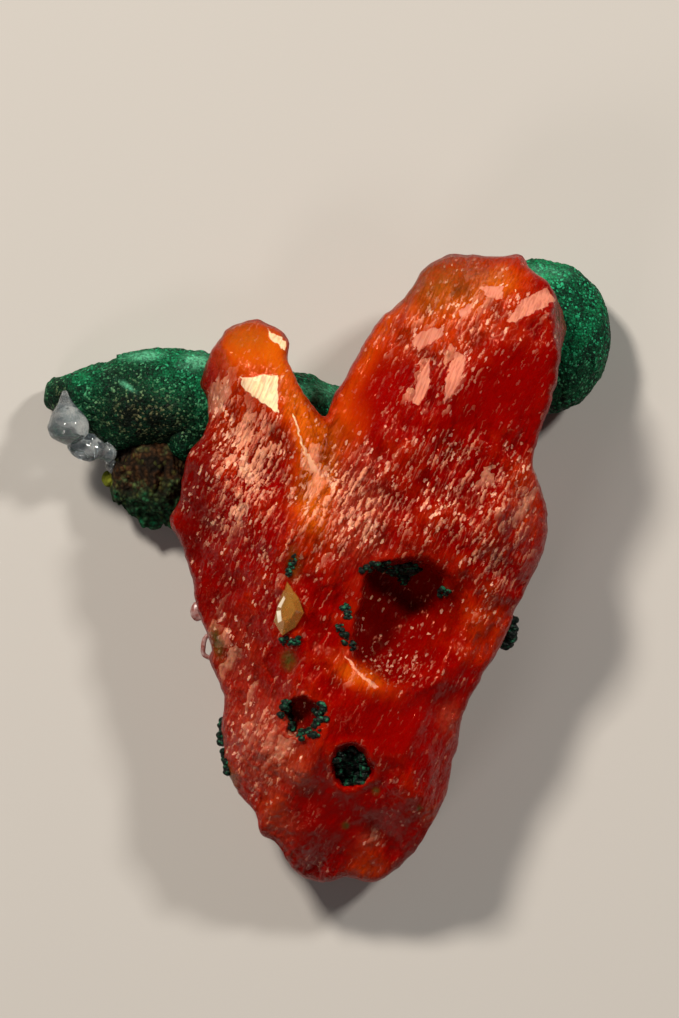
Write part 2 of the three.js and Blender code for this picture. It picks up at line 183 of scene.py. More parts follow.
# %% The four edges of the outline, in millimetres
TIP_EDGE = [
    (-1.7, -11.62), (-0.98, -12.42), (-0.1, -12.62), (0.7, -12.42), (1.9, -12.58), (2.9, -11.9),
    (3.5, -11.34),
]
LEFT_EDGE = [
    (-1.7, -11.62), (-2.02, -11.02), (-2.62, -10.62), (-2.9, -9.7), (-3.5, -9.02), (-4.06, -8.02),
    (-4.14, -7.02), (-4.26, -6.22), (-4.1, -5.42), (-4.22, -4.82), (-4.74, -3.7), (-4.66, -3.2),
    (-4.8, -2.7), (-5.1, -2.0), (-5.26, -1.22), (-5.5, -0.02), (-5.82, 0.98), (-6.3, 1.98), (-5.9, 2.78),
    (-5.78, 3.58), (-5.58, 4.58), (-5.1, 5.18), (-4.78, 5.98), (-4.82, 6.86), (-5.06, 7.38), (-4.98, 7.9),
    (-4.7, 8.7),
]
RIGHT_EDGE = [
    (3.5, -11.34), (4.1, -10.34), (4.5, -9.54), (4.82, -8.82), (4.98, -7.62), (5.22, -7.02), (5.42, -5.7),
    (6.1, -4.38), (6.78, -3.26), (7.38, -2.02), (7.46, -1.62), (8.02, -0.58), (8.54, 0.58), (8.74, 1.58),
    (8.66, 2.78), (8.18, 4.18), (8.34, 5.18), (8.98, 6.98), (9.22, 8.38), (9.5, 9.78), (9.1, 10.86),
    (8.7, 11.5),
]
TOP_EDGE = [
    (-4.7, 8.7), (-4.3, 9.26), (-3.7, 9.78), (-2.9, 10.02), (-2.5, 9.9), (-1.78, 9.46), (-1.54, 9.1),
    (-1.6, 8.7), (-1.5, 8.18), (-0.7, 6.66), (-0.1, 6.1), (0.3, 7.06), (0.7, 7.58), (1.3, 8.78),
    (2.1, 9.98), (3.22, 11.06), (3.7, 11.86), (4.5, 12.46), (5.1, 12.62), (6.9, 12.46), (7.74, 12.5),
    (8.02, 11.98), (8.7, 11.5),
]
print("points of the outline:", len(TIP_EDGE + LEFT_EDGE + RIGHT_EDGE + TOP_EDGE))

# %% [markdown]
# The chipped edges have no corners at this size, so a curve runs through the points. The grid's
# lines are crowded a little towards the edges, where the surface turns most.


# %% Curves, and the grid between them
def curve_through(points, count):
    """A curve through a, b, c, d...: from b to c it is half of
    2b + (c - a)t + (2a - 5b + 4c - d)t^2 + (3b - a - 3c + d)t^3."""
    points = np.array(points, float)
    padded = np.vstack([points[:1], points, points[-1:]])
    place = np.linspace(0, len(points) - 1, count)
    i = np.minimum(place.astype(int), len(points) - 2)
    a, b, c, d = (padded[i + k] for k in range(4))
    t = (place - i)[:, None]
    return (2 * b + (c - a) * t + (2 * a - 5 * b + 4 * c - d) * t**2 + (3 * b - a - 3 * c + d) * t**3) / 2


def edge_at(points, shares):
    """Points of the curve at given shares of its length."""
    dense = curve_through(points, 3000)
    length = np.concatenate([[0], np.cumsum(np.linalg.norm(np.diff(dense, axis=0), axis=1))])
    return np.stack([np.interp(shares * length[-1], length, dense[:, k]) for k in (0, 1)], -1)


ACROSS, ALONG = 140, 252
u, v = np.linspace(0, 1, ACROSS), np.linspace(0, 1, ALONG)
u = u - 0.07 * np.sin(2 * np.pi * u) / np.pi
v = v - 0.05 * np.sin(2 * np.pi * v) / np.pi
tip, top = edge_at(TIP_EDGE, u)[None], edge_at(TOP_EDGE, u)[None]
left, right = edge_at(LEFT_EDGE, v)[:, None], edge_at(RIGHT_EDGE, v)[:, None]
U, V = u[None, :, None], v[:, None, None]
twice = (1 - V) * ((1 - U) * tip[:, :1] + U * tip[:, -1:]) + V * ((1 - U) * top[:, :1] + U * top[:, -1:])
plan = (1 - V) * tip + V * top + (1 - U) * left + U * right - twice
print("plan grid", plan.shape[:2])

# %% [markdown]
# The V has a deep notch, and there a blended grid folds over itself. So its inner points are moved
# step by step to weighted means of their neighbours, as in a grid for flow calculations, until no
# cell is turned over. Then each point's distance to the outline is measured.


# %% Unfold the grid
def folded(points):
    """How many cells of the grid are turned over: their two diagonals' cross product is negative."""
    a, b = points[1:, 1:] - points[:-1, :-1], points[1:, :-1] - points[:-1, 1:]
    return int(np.sum(a[..., 0] * b[..., 1] - a[..., 1] * b[..., 0] < 0))


print("folded cells before", folded(plan))
# Each inner point moves to a weighted mean of its neighbours. A neighbour along one grid direction
# counts by the squared step of the other, and the diagonal ones by the two steps' dot product.
UNFOLDING_STEPS = 220
for _ in range(UNFOLDING_STEPS):
    down, over = (plan[2:, 1:-1] - plan[:-2, 1:-1]) / 2, (plan[1:-1, 2:] - plan[1:-1, :-2]) / 2
    pairs = ((down, down), (down, over), (over, over))
    a, b, c = (np.sum(p * q, axis=-1, keepdims=True) for p, q in pairs)
    twist = (plan[2:, 2:] - plan[2:, :-2] - plan[:-2, 2:] + plan[:-2, :-2]) / 4
    beside = a * (plan[1:-1, 2:] + plan[1:-1, :-2]) + c * (plan[2:, 1:-1] + plan[:-2, 1:-1])
    plan[1:-1, 1:-1] = (beside - 2 * b * twist) / (2 * (a + c))
print("folded cells after", folded(plan))
X, Y = plan[..., 0], plan[..., 1]
edge_shares = np.linspace(0, 1, 160)
outline = np.vstack([edge_at(e, edge_shares) for e in (TIP_EDGE, RIGHT_EDGE, TOP_EDGE, LEFT_EDGE)])
to_edge = np.full(X.shape, 99.0)
for point in outline:
    to_edge = np.minimum(to_edge, np.hypot(X - point[0], Y - point[1]))
to_edge[[0, -1]] = 0
to_edge[:, [0, -1]] = 0
print("deepest inside", round(float(to_edge.max()), 2), "mm")

# %% [markdown]
# ## The cuprite: its faces
# A crystal is bounded by planes, so its height is the least of a few tilted planes, and the
# specimen is the greatest of its three bodies. The least and greatest are rounded a little,
# because the edges are worn and the valleys are grown over. Swellings are added on top.

# %% Planes and swellings
# Each plane is (x, y, height there, slope in degrees, bearing that it falls towards)
SHORT_CRYSTAL = [
    (-1.2, 6.2, 7.8, 36, 197), (-1.2, 6.2, 7.8, 54, 20), (-2.6, 7.1, 6.85, 17, 118), (-2.9, 8.0, 6.7, 36, 96),
    (-3.3, 1.8, 6.9, 22, 265), (-4.2, 5.0, 5.4, 60, 184),
]
TALL_CRYSTAL = [
    (6.6, 8.6, 8.6, 27, 118), (6.6, 8.6, 8.6, 20, 318), (3.4, 7.6, 7.7, 38, 150), (9.15, 8.4, 7.85, 76, 8),
    (5.6, 11.5, 7.0, 46, 95), (5.4, 2.6, 8.0, 30, 262), (7.9, 10.6, 7.72, 25, 52),
]
TRUNK = [
    (2.9, -1.2, 8.0, 4, 262), (1.3, -7.8, 7.2, 39, 266), (5.7, -2.8, 7.3, 46, 333),
    (-1.5, -4.0, 7.3, 38, 197), (7.3, 2.0, 7.5, 48, 12), (0.6, 3.2, 7.4, 36, 92),
]
# Each swelling is (x, y, reach, height)
SWELLINGS = [
    (-2.7, -7.1, 1.5, 0.85), (7.5, 2.4, 1.5, 0.5), (1.4, -4.9, 1.4, 0.55), (-1.0, 1.6, 1.5, 0.3),
    (4.9, -1.6, 1.9, -1.1), (4.2, -5.2, 1.1, -0.6), (-0.8, -10.6, 1.1, 0.4), (3.2, -9.2, 1.2, 0.45),
    (2.0, -10.4, 0.8, -0.35),
]
EDGE_SOFTNESS, VALLEY_SOFTNESS = 0.07, 0.28


def plane_height(face, x, y):
    """Height of a plane: its height at its own point, less the tangent of its slope for each
    millimetre along the way that it falls."""
    x0, y0, height, slope, bearing = face
    along = (x - x0) * np.cos(np.radians(bearing)) + (y - y0) * np.sin(np.radians(bearing))
    return height - np.tan(np.radians(slope)) * along


def soft_least(heights, softness):
    """A least with rounded corners: minus the softness times the logarithm of a sum of
    exponentials."""
    return -softness * np.log(sum(np.exp(-h / softness) for h in heights))


def body_height(x, y):
    """The three crystal bodies joined, with their swellings. A swelling is a height times the
    exponential of minus the squared distance, counted in its reach."""
    crystals = (SHORT_CRYSTAL, TALL_CRYSTAL, TRUNK)
    bodies = [soft_least([plane_height(f, x, y) for f in faces], EDGE_SOFTNESS) for faces in crystals]
    joined = -soft_least([-b for b in bodies], VALLEY_SOFTNESS)
    return joined + sum(h * np.exp(-((x - x0) ** 2 + (y - y0) ** 2) / r**2) for x0, y0, r, h in SWELLINGS)


print("highest of the three bodies", round(float(body_height(X, Y).max()), 2), "mm")

# %% [markdown]
# The cavity has a steep wall on the left and above and a long slope to the right,
# like a crystal's mould. So its depth depends on the bearing from its middle. Regions such as the
# smooth faces are soft-edged ovals, and the largest bright facets are polygons.

# %% The cavity, regions and facets
# Each pit is (x, y, radius, depth)
PITS = [(-0.98, -5.86, 0.8, 1.1), (0.96, -7.8, 0.88, 1.2)]
CAVITY_X, CAVITY_Y, CAVITY_DEPTH = 2.8, -2.05, 2.2


def patch(x, y, blobs):
    """How far a point lies in any of some soft-edged ovals, from 0 to 1. Each oval is (x, y, half
    width, half height, turn, weight)."""
    total = 0
    for x0, y0, half_width, half_height, turn, weight in blobs:
        c, s = np.cos(np.radians(turn)), np.sin(np.radians(turn))
        a = ((x - x0) * c + (y - y0) * s) / half_width
        b = ((y - y0) * c - (x - x0) * s) / half_height
        total = total + weight * np.exp(-((a**2 + b**2) ** 1.5))
    return np.clip(total, 0, 1)


def cavity_share(x, y):
    """Depth of the cavity from 0 at its rim to 1: one less r to a power, where r is the distance
    from the middle as a share of the rim's. The power is high where the wall is steep, on the
    left and above, and low on the long slope to the right. The rim's distance is a mean plus
    cosines of the bearing, which make it an uneven oval, and is frayed by noise."""
    dx, dy = x - CAVITY_X, y - CAVITY_Y
    bearing = np.arctan2(dy, dx)
    edge = 2.55 + 0.62 * np.cos(bearing + 0.25) - 0.12 * np.cos(2 * bearing)
    edge = edge + 0.12 * np.cos(3 * bearing + 0.6)
    edge = edge * (1 + 0.05 * noise(x, y, 0.0, 0.7, 31) + 0.03 * noise(x, y, 0.0, 0.3, 32))
    steep = (1 - np.cos(bearing + np.radians(35))) / 2
    return np.clip(1 - (np.hypot(dx, dy) / edge) ** (1.2 + 8 * steep**1.6), 0, 1) ** (1.3 - 0.4 * steep)


# The large facets that face the light and carry a painted reflection of it, each by its corners in
# millimetres
BRIGHT_FACETS = [
    [(0.7, -3.4), (0.78, -3.38), (1.3, -4.12), (1.22, -4.16)],
    [(1.28, -4.14), (1.36, -4.08), (2.05, -4.62), (1.9, -4.7)],
    [(-1.42, 6.2), (-1.36, 6.2), (-0.76, 4.5), (-0.88, 4.45)],
    [(-0.86, 4.6), (-0.72, 4.6), (-0.28, 3.84), (-0.62, 3.84)],
    [(-3.5, 7.66), (-1.98, 7.78), (-1.94, 6.14), (-2.7, 6.7), (-3.3, 7.1)],
    [(-2.38, 9.6), (-1.6, 9.1), (-1.68, 8.7), (-2.3, 9.25)],
    [(7.1, 9.84), (7.7, 10.7), (8.7, 11.2), (9.1, 10.7), (8.3, 10.25), (7.4, 9.8)],
    [(6.02, 11.26), (6.98, 11.26), (6.9, 10.7), (6.38, 10.78)],
    [(3.3, 9.1), (3.7, 9.46), (4.6, 9.66), (4.58, 9.26), (3.58, 8.7)],
    [(5.18, 10.26), (5.7, 10.58), (5.8, 10.38), (5.3, 9.98)],
    [(3.38, 6.58), (3.58, 7.66), (4.1, 8.46), (4.02, 7.26), (3.66, 6.46)],
    [(4.62, 6.58), (4.7, 7.66), (5.02, 8.58), (5.5, 8.5), (5.3, 7.66), (4.9, 6.86)],
]


def inward_edges(corners):
    """For each edge of a facet, its first corner and the unit direction that leads inwards."""
    corners = np.array(corners)
    middle = corners.mean(0)
    for a, b in zip(corners, np.roll(corners, -1, axis=0)):
        inward = np.array([a[1] - b[1], b[0] - a[0]]) / np.linalg.norm(b - a)
        yield a, inward if inward @ (middle - a) > 0 else -inward


def in_facet(x, y, corners):
    """How far inside a facet a point is, in millimetres: the least distance to its edges."""
    least = np.inf
    for corner, inward in inward_edges(corners):
        least = np.minimum(least, (x - corner[0]) * inward[0] + (y - corner[1]) * inward[1])
    return least


print("share of the plan in the cavity", round(float(np.mean(cavity_share(X, Y) > 0)), 3))

# %% [markdown]
# The etched relief is three things at once: long plates at two sizes, crossing waves, and grain.
# It fades where the crystal has smooth faces. The back is broken roughly flat where it lies and
# rises towards the crystals' ends. Both sheets are rounded over towards the outline.

# %% Heights of the front and the back
# Each wave is (height, turns in radians a millimetre along x, the same along y, start)
WAVES = [(0.09, 1.7, 0.6, 0), (0.08, -0.5, 0.9, 1.6), (0.07, 2.6, -2.0, 1), (0.05, 2.2, 3.7, 2)]
SMOOTH_PARTS = [
    (1.9, 7.0, 1.1, 1.9, -25, 1.0), (7.2, 7.3, 2.6, 1.7, 25, 1.0), (2.7, -6.4, 2.6, 1.6, 0, 0.9),
    (-3.0, 8.9, 1.6, 1.2, 0, 0.9), (-2.7, 7.0, 0.9, 0.9, 0, 1.0), (-2.5, -7.0, 1.3, 1.5, 0, 0.7),
    (2.9, -2.0, 2.2, 2.0, 0, 0.7), (0.9, -10.2, 3.2, 1.7, 0, 0.75), (5.0, -4.6, 1.4, 1.6, 0, 0.5),
]
FRONT_BEVEL, FRONT_ROUNDING, BACK_ROUNDING = 0.3, 0.3, 1.5


def front_height(x, y):
    """Height of the front of the cuprite, with its hollows and its etched plates. A pit's depth
    is (1 - r^2)^0.65, where r is the distance from its middle as a share of its frayed radius."""
    height = body_height(x, y)
    lip = 0
    for x0, y0, radius, depth in PITS:
        frayed = radius * (1 + 0.16 * noise(x, y, 0.0, 0.5, 5) + 0.07 * noise(x, y, 0.0, 0.2, 6))
        r = np.hypot(x - x0, y - y0) / frayed
        height = height - depth * np.clip(1 - r**2, 0, 1) ** 0.65
        lip = lip + 0.07 * np.exp(-((r - 1.08) ** 2) / 0.02)
    smooth = patch(x, y, SMOOTH_PARTS)
    for corners in BRIGHT_FACETS:
        smooth = np.maximum(smooth, np.clip(0.5 + in_facet(x, y, corners) / 0.15, 0, 1))
    relief = 0.1 * plates(x, y, 1.6, 0.6, 62, 1) + 0.05 * plates(x, y, 0.8, 0.34, 66, 2)
    relief = relief + sum(h * np.sin(a * x + b * y + start) for h, a, b, start in WAVES)
    relief = (1 - 0.9 * smooth) * relief + 0.03 * (1 - 0.8 * smooth) * rough(x, y, 0.0, 0.8, 3, 8)
    return height + lip + relief - CAVITY_DEPTH * cavity_share(x, y)


def rim_height(y):
    """Height of the outline's thinnest line: it climbs evenly from the tip to the crystals' ends."""
    return 1.9 + 2.7 * (y + 12.6) / 25.2


def rounded(distance, reach):
    """A quarter circle: from 0 at the outline to 1 at `reach` millimetres from it."""
    return np.sqrt(1 - (1 - np.clip(distance / reach, 0, 1)) ** 2)


def finished_front(x, y, distance):
    """The front at a distance from the outline: never near the rim, and bevelled at the edge."""
    full = np.maximum(front_height(x, y), rim_height(y) + 0.4)
    return full - FRONT_BEVEL * (1 - rounded(distance, FRONT_ROUNDING))


front = finished_front(X, Y, to_edge)
BACK_SLOPE = 11.5
back = np.tan(np.radians(BACK_SLOPE)) * (Y + 1) - 0.25 + 0.12 * rough(X, Y, 0.0, 2.5, 3, 20)
back = rim_height(Y) + (np.maximum(0, back) - rim_height(Y)) * rounded(to_edge, BACK_ROUNDING)
print("front runs from", round(float(front.min()), 2), "to", round(float(front.max()), 2), "mm")

# %% [markdown]
# ## The cuprite: one closed surface
# The front and the back are two sheets over the same grid, and a wall of many rings joins them all
# round. Small shifts in the plane, the same for every ring, chip the outline. The wall is sunk by
# tilted plates and by noise, because the sides of such a crystal are broken and stepped.

# %% The sheets and the wall between them
chips = [0.045 * rough(X, Y, 0.0, 0.5, 3, seed) for seed in (40, 50)]
low, high = np.array(cad_box).reshape(2, 3) / MM
WALL_RINGS, PLATE_DEPTH, GRAIN_DEPTH = 26, 0.2, 0.09


def sheet(height):
    """Points of the front or of the back, chipped at the outline."""
    return np.stack([X + chips[0], np.clip(Y + chips[1], low[1], high[1]), height], -1).reshape(-1, 3)


def wall_between(top, foot):
    """Rings from the front's edge down to the back's. A point's share of the way down goes evenly
    from 0 to 1, and it is sunk inwards by plates and noise times sin(pi share)."""
    share = np.linspace(0, 1, WALL_RINGS + 2)[1:-1, None]
    points = top + share[..., None] * (foot - top)
    along = np.roll(top, -1, axis=0)[:, :2] - np.roll(top, 1, axis=0)[:, :2]
    inwards = np.stack([-along[:, 1], along[:, 0]], -1) / np.linalg.norm(along, axis=1, keepdims=True)
    arc = np.cumsum(np.linalg.norm(along, axis=1))[None] / 2
    x, y, z = points[..., 0], points[..., 1], points[..., 2]
    sunk = PLATE_DEPTH * (1 + plates(arc + 0 * z, z + 0 * arc, 2.6, 1.3, 65, 70))
    sunk = sunk + GRAIN_DEPTH * (1 + rough(x, y, z, 0.9, 3, 60))
    points[..., :2] = points[..., :2] + (sunk * np.sin(np.pi * share))[..., None] * inwards
    return points


front_points, back_points = sheet(front), sheet(back)
grid = np.arange(ALONG * ACROSS).reshape(ALONG, ACROSS)
ring = np.concatenate([grid[0, :-1], grid[:-1, -1], grid[-1, :0:-1], grid[:0:-1, 0]])
wall = wall_between(front_points[ring], back_points[ring])
wall_index = 2 * grid.size + np.arange(WALL_RINGS * len(ring)).reshape(WALL_RINGS, -1)
rows = np.vstack([ring, wall_index, ring + grid.size])
after = np.roll(rows, -1, axis=1)
strips = np.stack([rows[:-1], rows[1:], after[1:], after[:-1]], -1).reshape(-1, 4)
faces = np.vstack([quads_of(ALONG, ACROSS), quads_of(ALONG, ACROSS, grid.size)[:, ::-1], strips])
skin = np.vstack([front_points, back_points, wall.reshape(-1, 3)])
cuprite = piece_of("Cuprite_crystals", skin, faces)
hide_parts("cuprite")

# %% [markdown]
# Where the stone is thin or lit from behind, an orange glow is painted; some faces carry a pinkish frosted
# bloom, others are scaly or faceted, and painted shade darkens the hollows, the faces turned from the light
# and the outline's walls. These are kept on the mesh as numbers for the material, because each belongs to a
# real place: soft ovals laid over those places.

# %% Regions of the cuprite
# Painted glow: orange where light comes through the thin stone
PAINTED_GLOW = [
    (-3.0, 8.9, 1.7, 1.35, 0, 0.9), (-1.1, 6.3, 0.75, 2.4, 20, 0.95), (-0.5, 3.0, 1.0, 2.2, 0, 0.95),
    (-3.4, 5.9, 1.4, 1.9, 0, 0.4), (1.05, 7.6, 0.5, 3.4, -28, 0.55), (0.7, 5.3, 0.7, 1.4, -25, 0.6),
    (4.9, 11.4, 3.0, 1.2, 8, 0.5), (4.5, 9.9, 2.8, 1.4, 15, 0.5), (6.9, 11.6, 1.1, 0.7, 0, 0.4),
    (7.9, 2.8, 0.8, 1.6, 0, 0.3), (6.3, -2.2, 1.2, 1.5, 0, 0.3), (1.3, -4.2, 1.3, 0.5, -25, 0.75),
    (1.6, -12.0, 0.8, 0.9, 0, 0.45), (-1.6, -7.8, 0.9, 0.7, 0, 0.3), (-2.2, -9.6, 0.6, 0.9, 0, 0.3),
]
SCALES = [
    (-3.2, 4.0, 1.5, 3.4, -8, 0.7), (-3.5, 5.2, 1.1, 1.8, -8, 0.2), (6.4, 2.8, 2.3, 2.0, 0, 0.35),
    (3.0, 4.2, 2.4, 2.2, 0, 0.22), (-2.3, -0.6, 0.9, 2.4, 0, 0.2), (1.2, 2.3, 1.1, 2.0, 0, 0.45),
    (-0.4, 2.8, 1.1, 2.4, 0, 0.5), (4.8, 9.6, 2.6, 2.2, 0, 0.3), (6.8, 0.2, 1.4, 1.8, 0, 0.35),
    (-2.6, -7.0, 1.5, 2.0, 0, 0.3), (3.0, -3.8, 1.6, 0.7, 0, 0.3), (3.2, 1.6, 2.4, 1.2, 0, 0.2),
]
FACETS = [
    (-3.2, 6.4, 1.4, 1.3, 0, 0.6), (-4.5, 6.8, 0.5, 1.2, 15, 0.6), (4.4, 7.6, 1.3, 1.5, -25, 0.45),
    (5.4, 10.4, 2.4, 1.5, 10, 0.4), (7.4, 3.4, 1.2, 1.6, 0, 0.4), (-2.6, -7.0, 1.4, 1.6, 0, 0.5),
    (-0.6, 3.6, 0.9, 2.0, -10, 0.45), (1.9, -10.8, 0.6, 0.5, 0, 0.4), (-4.0, -3.4, 1.0, 2.2, 0, 0.35),
    (4.4, -9.6, 0.5, 0.7, 0, 0.4),
]
BLOOM = [
    (1.2, 2.3, 1.1, 2.0, 0, 0.6), (-2.6, -7.0, 1.6, 2.0, 0, 0.8), (4.9, -5.9, 0.5, 0.7, 0, 0.6),
    (4.1, -9.8, 0.35, 0.5, 0, 0.8), (1.7, -10.8, 0.5, 0.4, 0, 0.7), (-1.1, -8.1, 0.45, 0.4, 0, 0.7),
    (-2.0, -10.3, 0.8, 1.0, 30, 0.5), (-3.9, -3.6, 1.3, 2.0, 0, 0.35),
]
STAIN = [
    (-4.4, -2.9, 0.25, 0.7, 10, 0.8), (-1.55, -3.6, 0.28, 0.4, 0, 0.8), (1.9, -8.8, 0.13, 0.13, 0, 1.0),
    (3.7, -9.5, 0.11, 0.11, 0, 1.0), (0.7, -10.2, 0.14, 0.12, 0, 1.0), (-1.35, 0.3, 0.3, 0.7, 0, 0.5),
    (-3.9, -8.3, 0.3, 0.6, 25, 0.5), (4.2, 11.6, 2.4, 1.1, 8, 0.4), (-3.4, 9.4, 1.2, 0.7, 0, 0.3),
]
# Painted shade on faces turned away from the light and in a few recesses
PAINTED_SHADE = [
    (-5.3, 2.6, 0.6, 3.0, -8, 0.4), (4.1, -5.0, 1.2, 0.6, 0, 0.35), (6.4, 3.6, 1.2, 1.6, 0, 0.2),
    (-5.2, 3.2, 0.8, 3.8, -8, 0.85), (-4.6, -0.6, 0.8, 2.2, 8, 0.5), (3.2, -10.2, 1.6, 1.4, 0, 0.2),
    (-0.2, -10.9, 1.4, 1.2, 0, 0.2), (4.4, 11.7, 2.6, 0.9, 8, 0.2), (9.3, 8.6, 0.5, 3.0, 0, 0.7),
]
# Where the painted facet reflection is cream rather than pink
CREAM_REFLECTION = [(-2.2, 7.0, 2.4, 3.4, 0, 1.0), (1.3, -4.0, 1.4, 1.0, 0, 0.15)]
print("glowing share of the plan", round(float(np.mean(patch(X, Y, PAINTED_GLOW) > 0.3)), 3))

# %% [markdown]
# Grooves are darkened with painted shade, and ridges get a painted glow, as if light came through them. A
# ridge is a place that stands higher than the mean of its surroundings, so the front's height is compared
# with two blurred copies of itself.


# %% Keep the regions on the mesh
def all_round(values):
    """The same values for the front and the back, and those of their edge all the way down the wall."""
    return np.concatenate([values.ravel(), values.ravel(), np.tile(values.ravel()[ring], WALL_RINGS)])


def blurred(values, steps):
    """A mean over a square of the grid's neighbours, one direction after the other: the difference
    of two running sums, divided by the square's width."""
    wide = 2 * steps + 1
    for axis in (0, 1):
        padded = np.pad(values, [(steps, steps) if axis == k else (0, 0) for k in (0, 1)], mode="edge")
        sums = np.cumsum(np.insert(padded, 0, 0, axis=axis), axis=axis)
        ends, starts = range(wide, sums.shape[axis]), range(sums.shape[axis] - wide)
        values = (np.take(sums, ends, axis) - np.take(sums, starts, axis)) / wide
    return values


etched_parts = 1 - patch(X, Y, SMOOTH_PARTS)
for corners in BRIGHT_FACETS:
    etched_parts = np.minimum(etched_parts, np.clip(0.6 - in_facet(X, Y, corners) / 0.1, 0.1, 1))
ridge = np.clip(0.5 + 5 * (front - blurred(front, 4)) + 1.5 * (front - blurred(front, 10)), 0, 1)
hollow_and_shade = cavity_share(X, Y)
for x0, y0, radius, _ in PITS:
    hollow_and_shade = np.maximum(hollow_and_shade, np.clip(1.15 - np.hypot(X - x0, Y - y0) / radius, 0, 1))
inner_share = np.clip(to_edge / 0.8 - 0.2, 0, 1) * (0.15 + 0.85 * etched_parts)
regions = {
    # Painted shade in the cavity and the pits, and on the faces listed above
    "hollow_and_shade": np.clip(hollow_and_shade + patch(X, Y, PAINTED_SHADE), 0, 1),
    "etched": etched_parts,
    "ridge": 0.5 + (ridge - 0.5) * inner_share,
    # Painted shade on the steep walls at the outline, which are also made rougher
    "shaded_flank": np.exp(-((to_edge / 0.22) ** 2)),
}
ovals = {"glow": PAINTED_GLOW, "bloom": BLOOM, "scales": SCALES, "stain": STAIN, "facets": FACETS, "cream": CREAM_REFLECTION}
regions.update({name: patch(X, Y, blobs) for name, blobs in ovals.items()})
keep_values(cuprite, **{name: all_round(values) for name, values in regions.items()})
print("kept for the material:", sorted(regions))

# %% [markdown]
# ## Rounded growths
# The malachite, the brown limonite, the drop and the crusts are rounded, grainy growths. Each is
# a set of rings carried along a path from one pole to the other. The rings are round or oval and
# every point is then pushed out or in by noise, which gives knobs at the larger size and grains at
# the smaller. What would sink below the surface under the specimen is flat there. Each growth is one
# piece of rings that overlap, so it looks grown together.


# %% Rings and lumps
def rings_of(centres, half_widths, half_heights, around, grain, seed=0):
    """Closed rings round a path in the XY plane. At bearing b the point is the centre, plus half the
    width times sin b across the path, plus half the height times cos b upwards. `grain` lists
    (size, push) of the noise that moves it outwards."""
    centres = np.asarray(centres)
    way = np.gradient(centres, axis=0)
    way = way / np.maximum(np.linalg.norm(way, axis=1, keepdims=True), 1e-9)
    across = np.stack([way[:, 1], -way[:, 0], 0 * way[:, 0]], -1)[:, None]
    b = np.linspace(0, 2 * np.pi, around, endpoint=False)[None, :, None]
    upwards = np.array([0.0, 0.0, 1.0])
    out = np.sin(b) * across + np.cos(b) * upwards
    wide, high = np.asarray(half_widths)[:, None, None], np.asarray(half_heights)[:, None, None]
    points = centres[:, None] + wide * np.sin(b) * across + high * np.cos(b) * upwards
    fade = np.clip(np.minimum(wide, high) / 0.25, 0, 1)
    x, y, z = points[..., 0], points[..., 1], points[..., 2]
    push = sum(p * noise(x, y, z, size, seed + k) for k, (size, p) in enumerate(grain))
    points = points + fade * push[..., None] * out
    points[..., 2] = np.maximum(points[..., 2], 0.0)
    return points


def lump(centre, size, rings, around, grain, seed=0):
    """An ellipsoid of rings: half of the circle's sine and cosine give each ring's size and place."""
    t = np.linspace(0, np.pi, rings)
    centres = np.array(centre) + np.stack([-size[0] * np.cos(t), 0 * t, 0 * t], -1)
    return rings_of(centres, size[1] * np.sin(t), size[2] * np.sin(t), around, grain, seed)


def growth(name, ring_sets, replaced, smooth=True):
    """One piece from several sets of rings, each closed at its poles."""
    points, faces, start = [], [], 0
    for rings in ring_sets:
        count, around = rings.shape[:2]
        rings[0], rings[-1] = rings[0].mean(0), rings[-1].mean(0)
        quads = quads_of(count, around, start, closed=True)
        flat = rings.reshape(-1, 3)
        if volume_of(flat, quads - start) < 0:
            quads = quads[:, ::-1]
        points.append(np.clip(flat, low, high))
        faces.append(quads)
        start += count * around
    piece = piece_of(name, np.vstack(points), np.vstack(faces), smooth)
    merge_doubles(piece)
    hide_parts(*replaced)
    return piece


print("rings and points of a small lump:", lump((0, 0, 1), (1, 1, 1), 5, 8, [(1.0, 0.1)]).shape)

# %% [markdown]
# ## The loop and the flake
# A thin loop of stone and a flake stand off the left edge. The loop could be a torus, but it is
# uneven and open towards the crystal, so it is a tube along a curve. It tapers where it is rooted.

# %% The loop and the flake on the left edge
LOOP = [(-4.35, -2.6, 2.4), (-4.88, -2.72, 2.5), (-5.02, -3.15, 2.5), (-4.95, -3.5, 2.4), (-4.35, -3.72, 2.3)]
loop_size = 0.1 * np.sin(np.linspace(0, np.pi, 70)) ** 0.2
splinters = growth(
    "Edge_splinters",
    [
        rings_of(curve_through(LOOP, 70), loop_size, loop_size, 20, [(0.3, 0.03), (0.1, 0.015)], 23),
        lump((-5.2, -1.72, 2.5), (0.34, 0.42, 0.18), 24, 30, [(0.3, 0.1), (0.12, 0.04)], 24),
    ],
    ["cuprite"],
)

# %% [markdown]
# ## The malachite arm
# The arm is a long mound that runs behind the crystals, from its blunt left end to where it dies out
# behind the tall one. Its width and height are read off along it, and four sizes of noise give it
# knobs and grains. A second mound fills the corner between it and the short crystal.

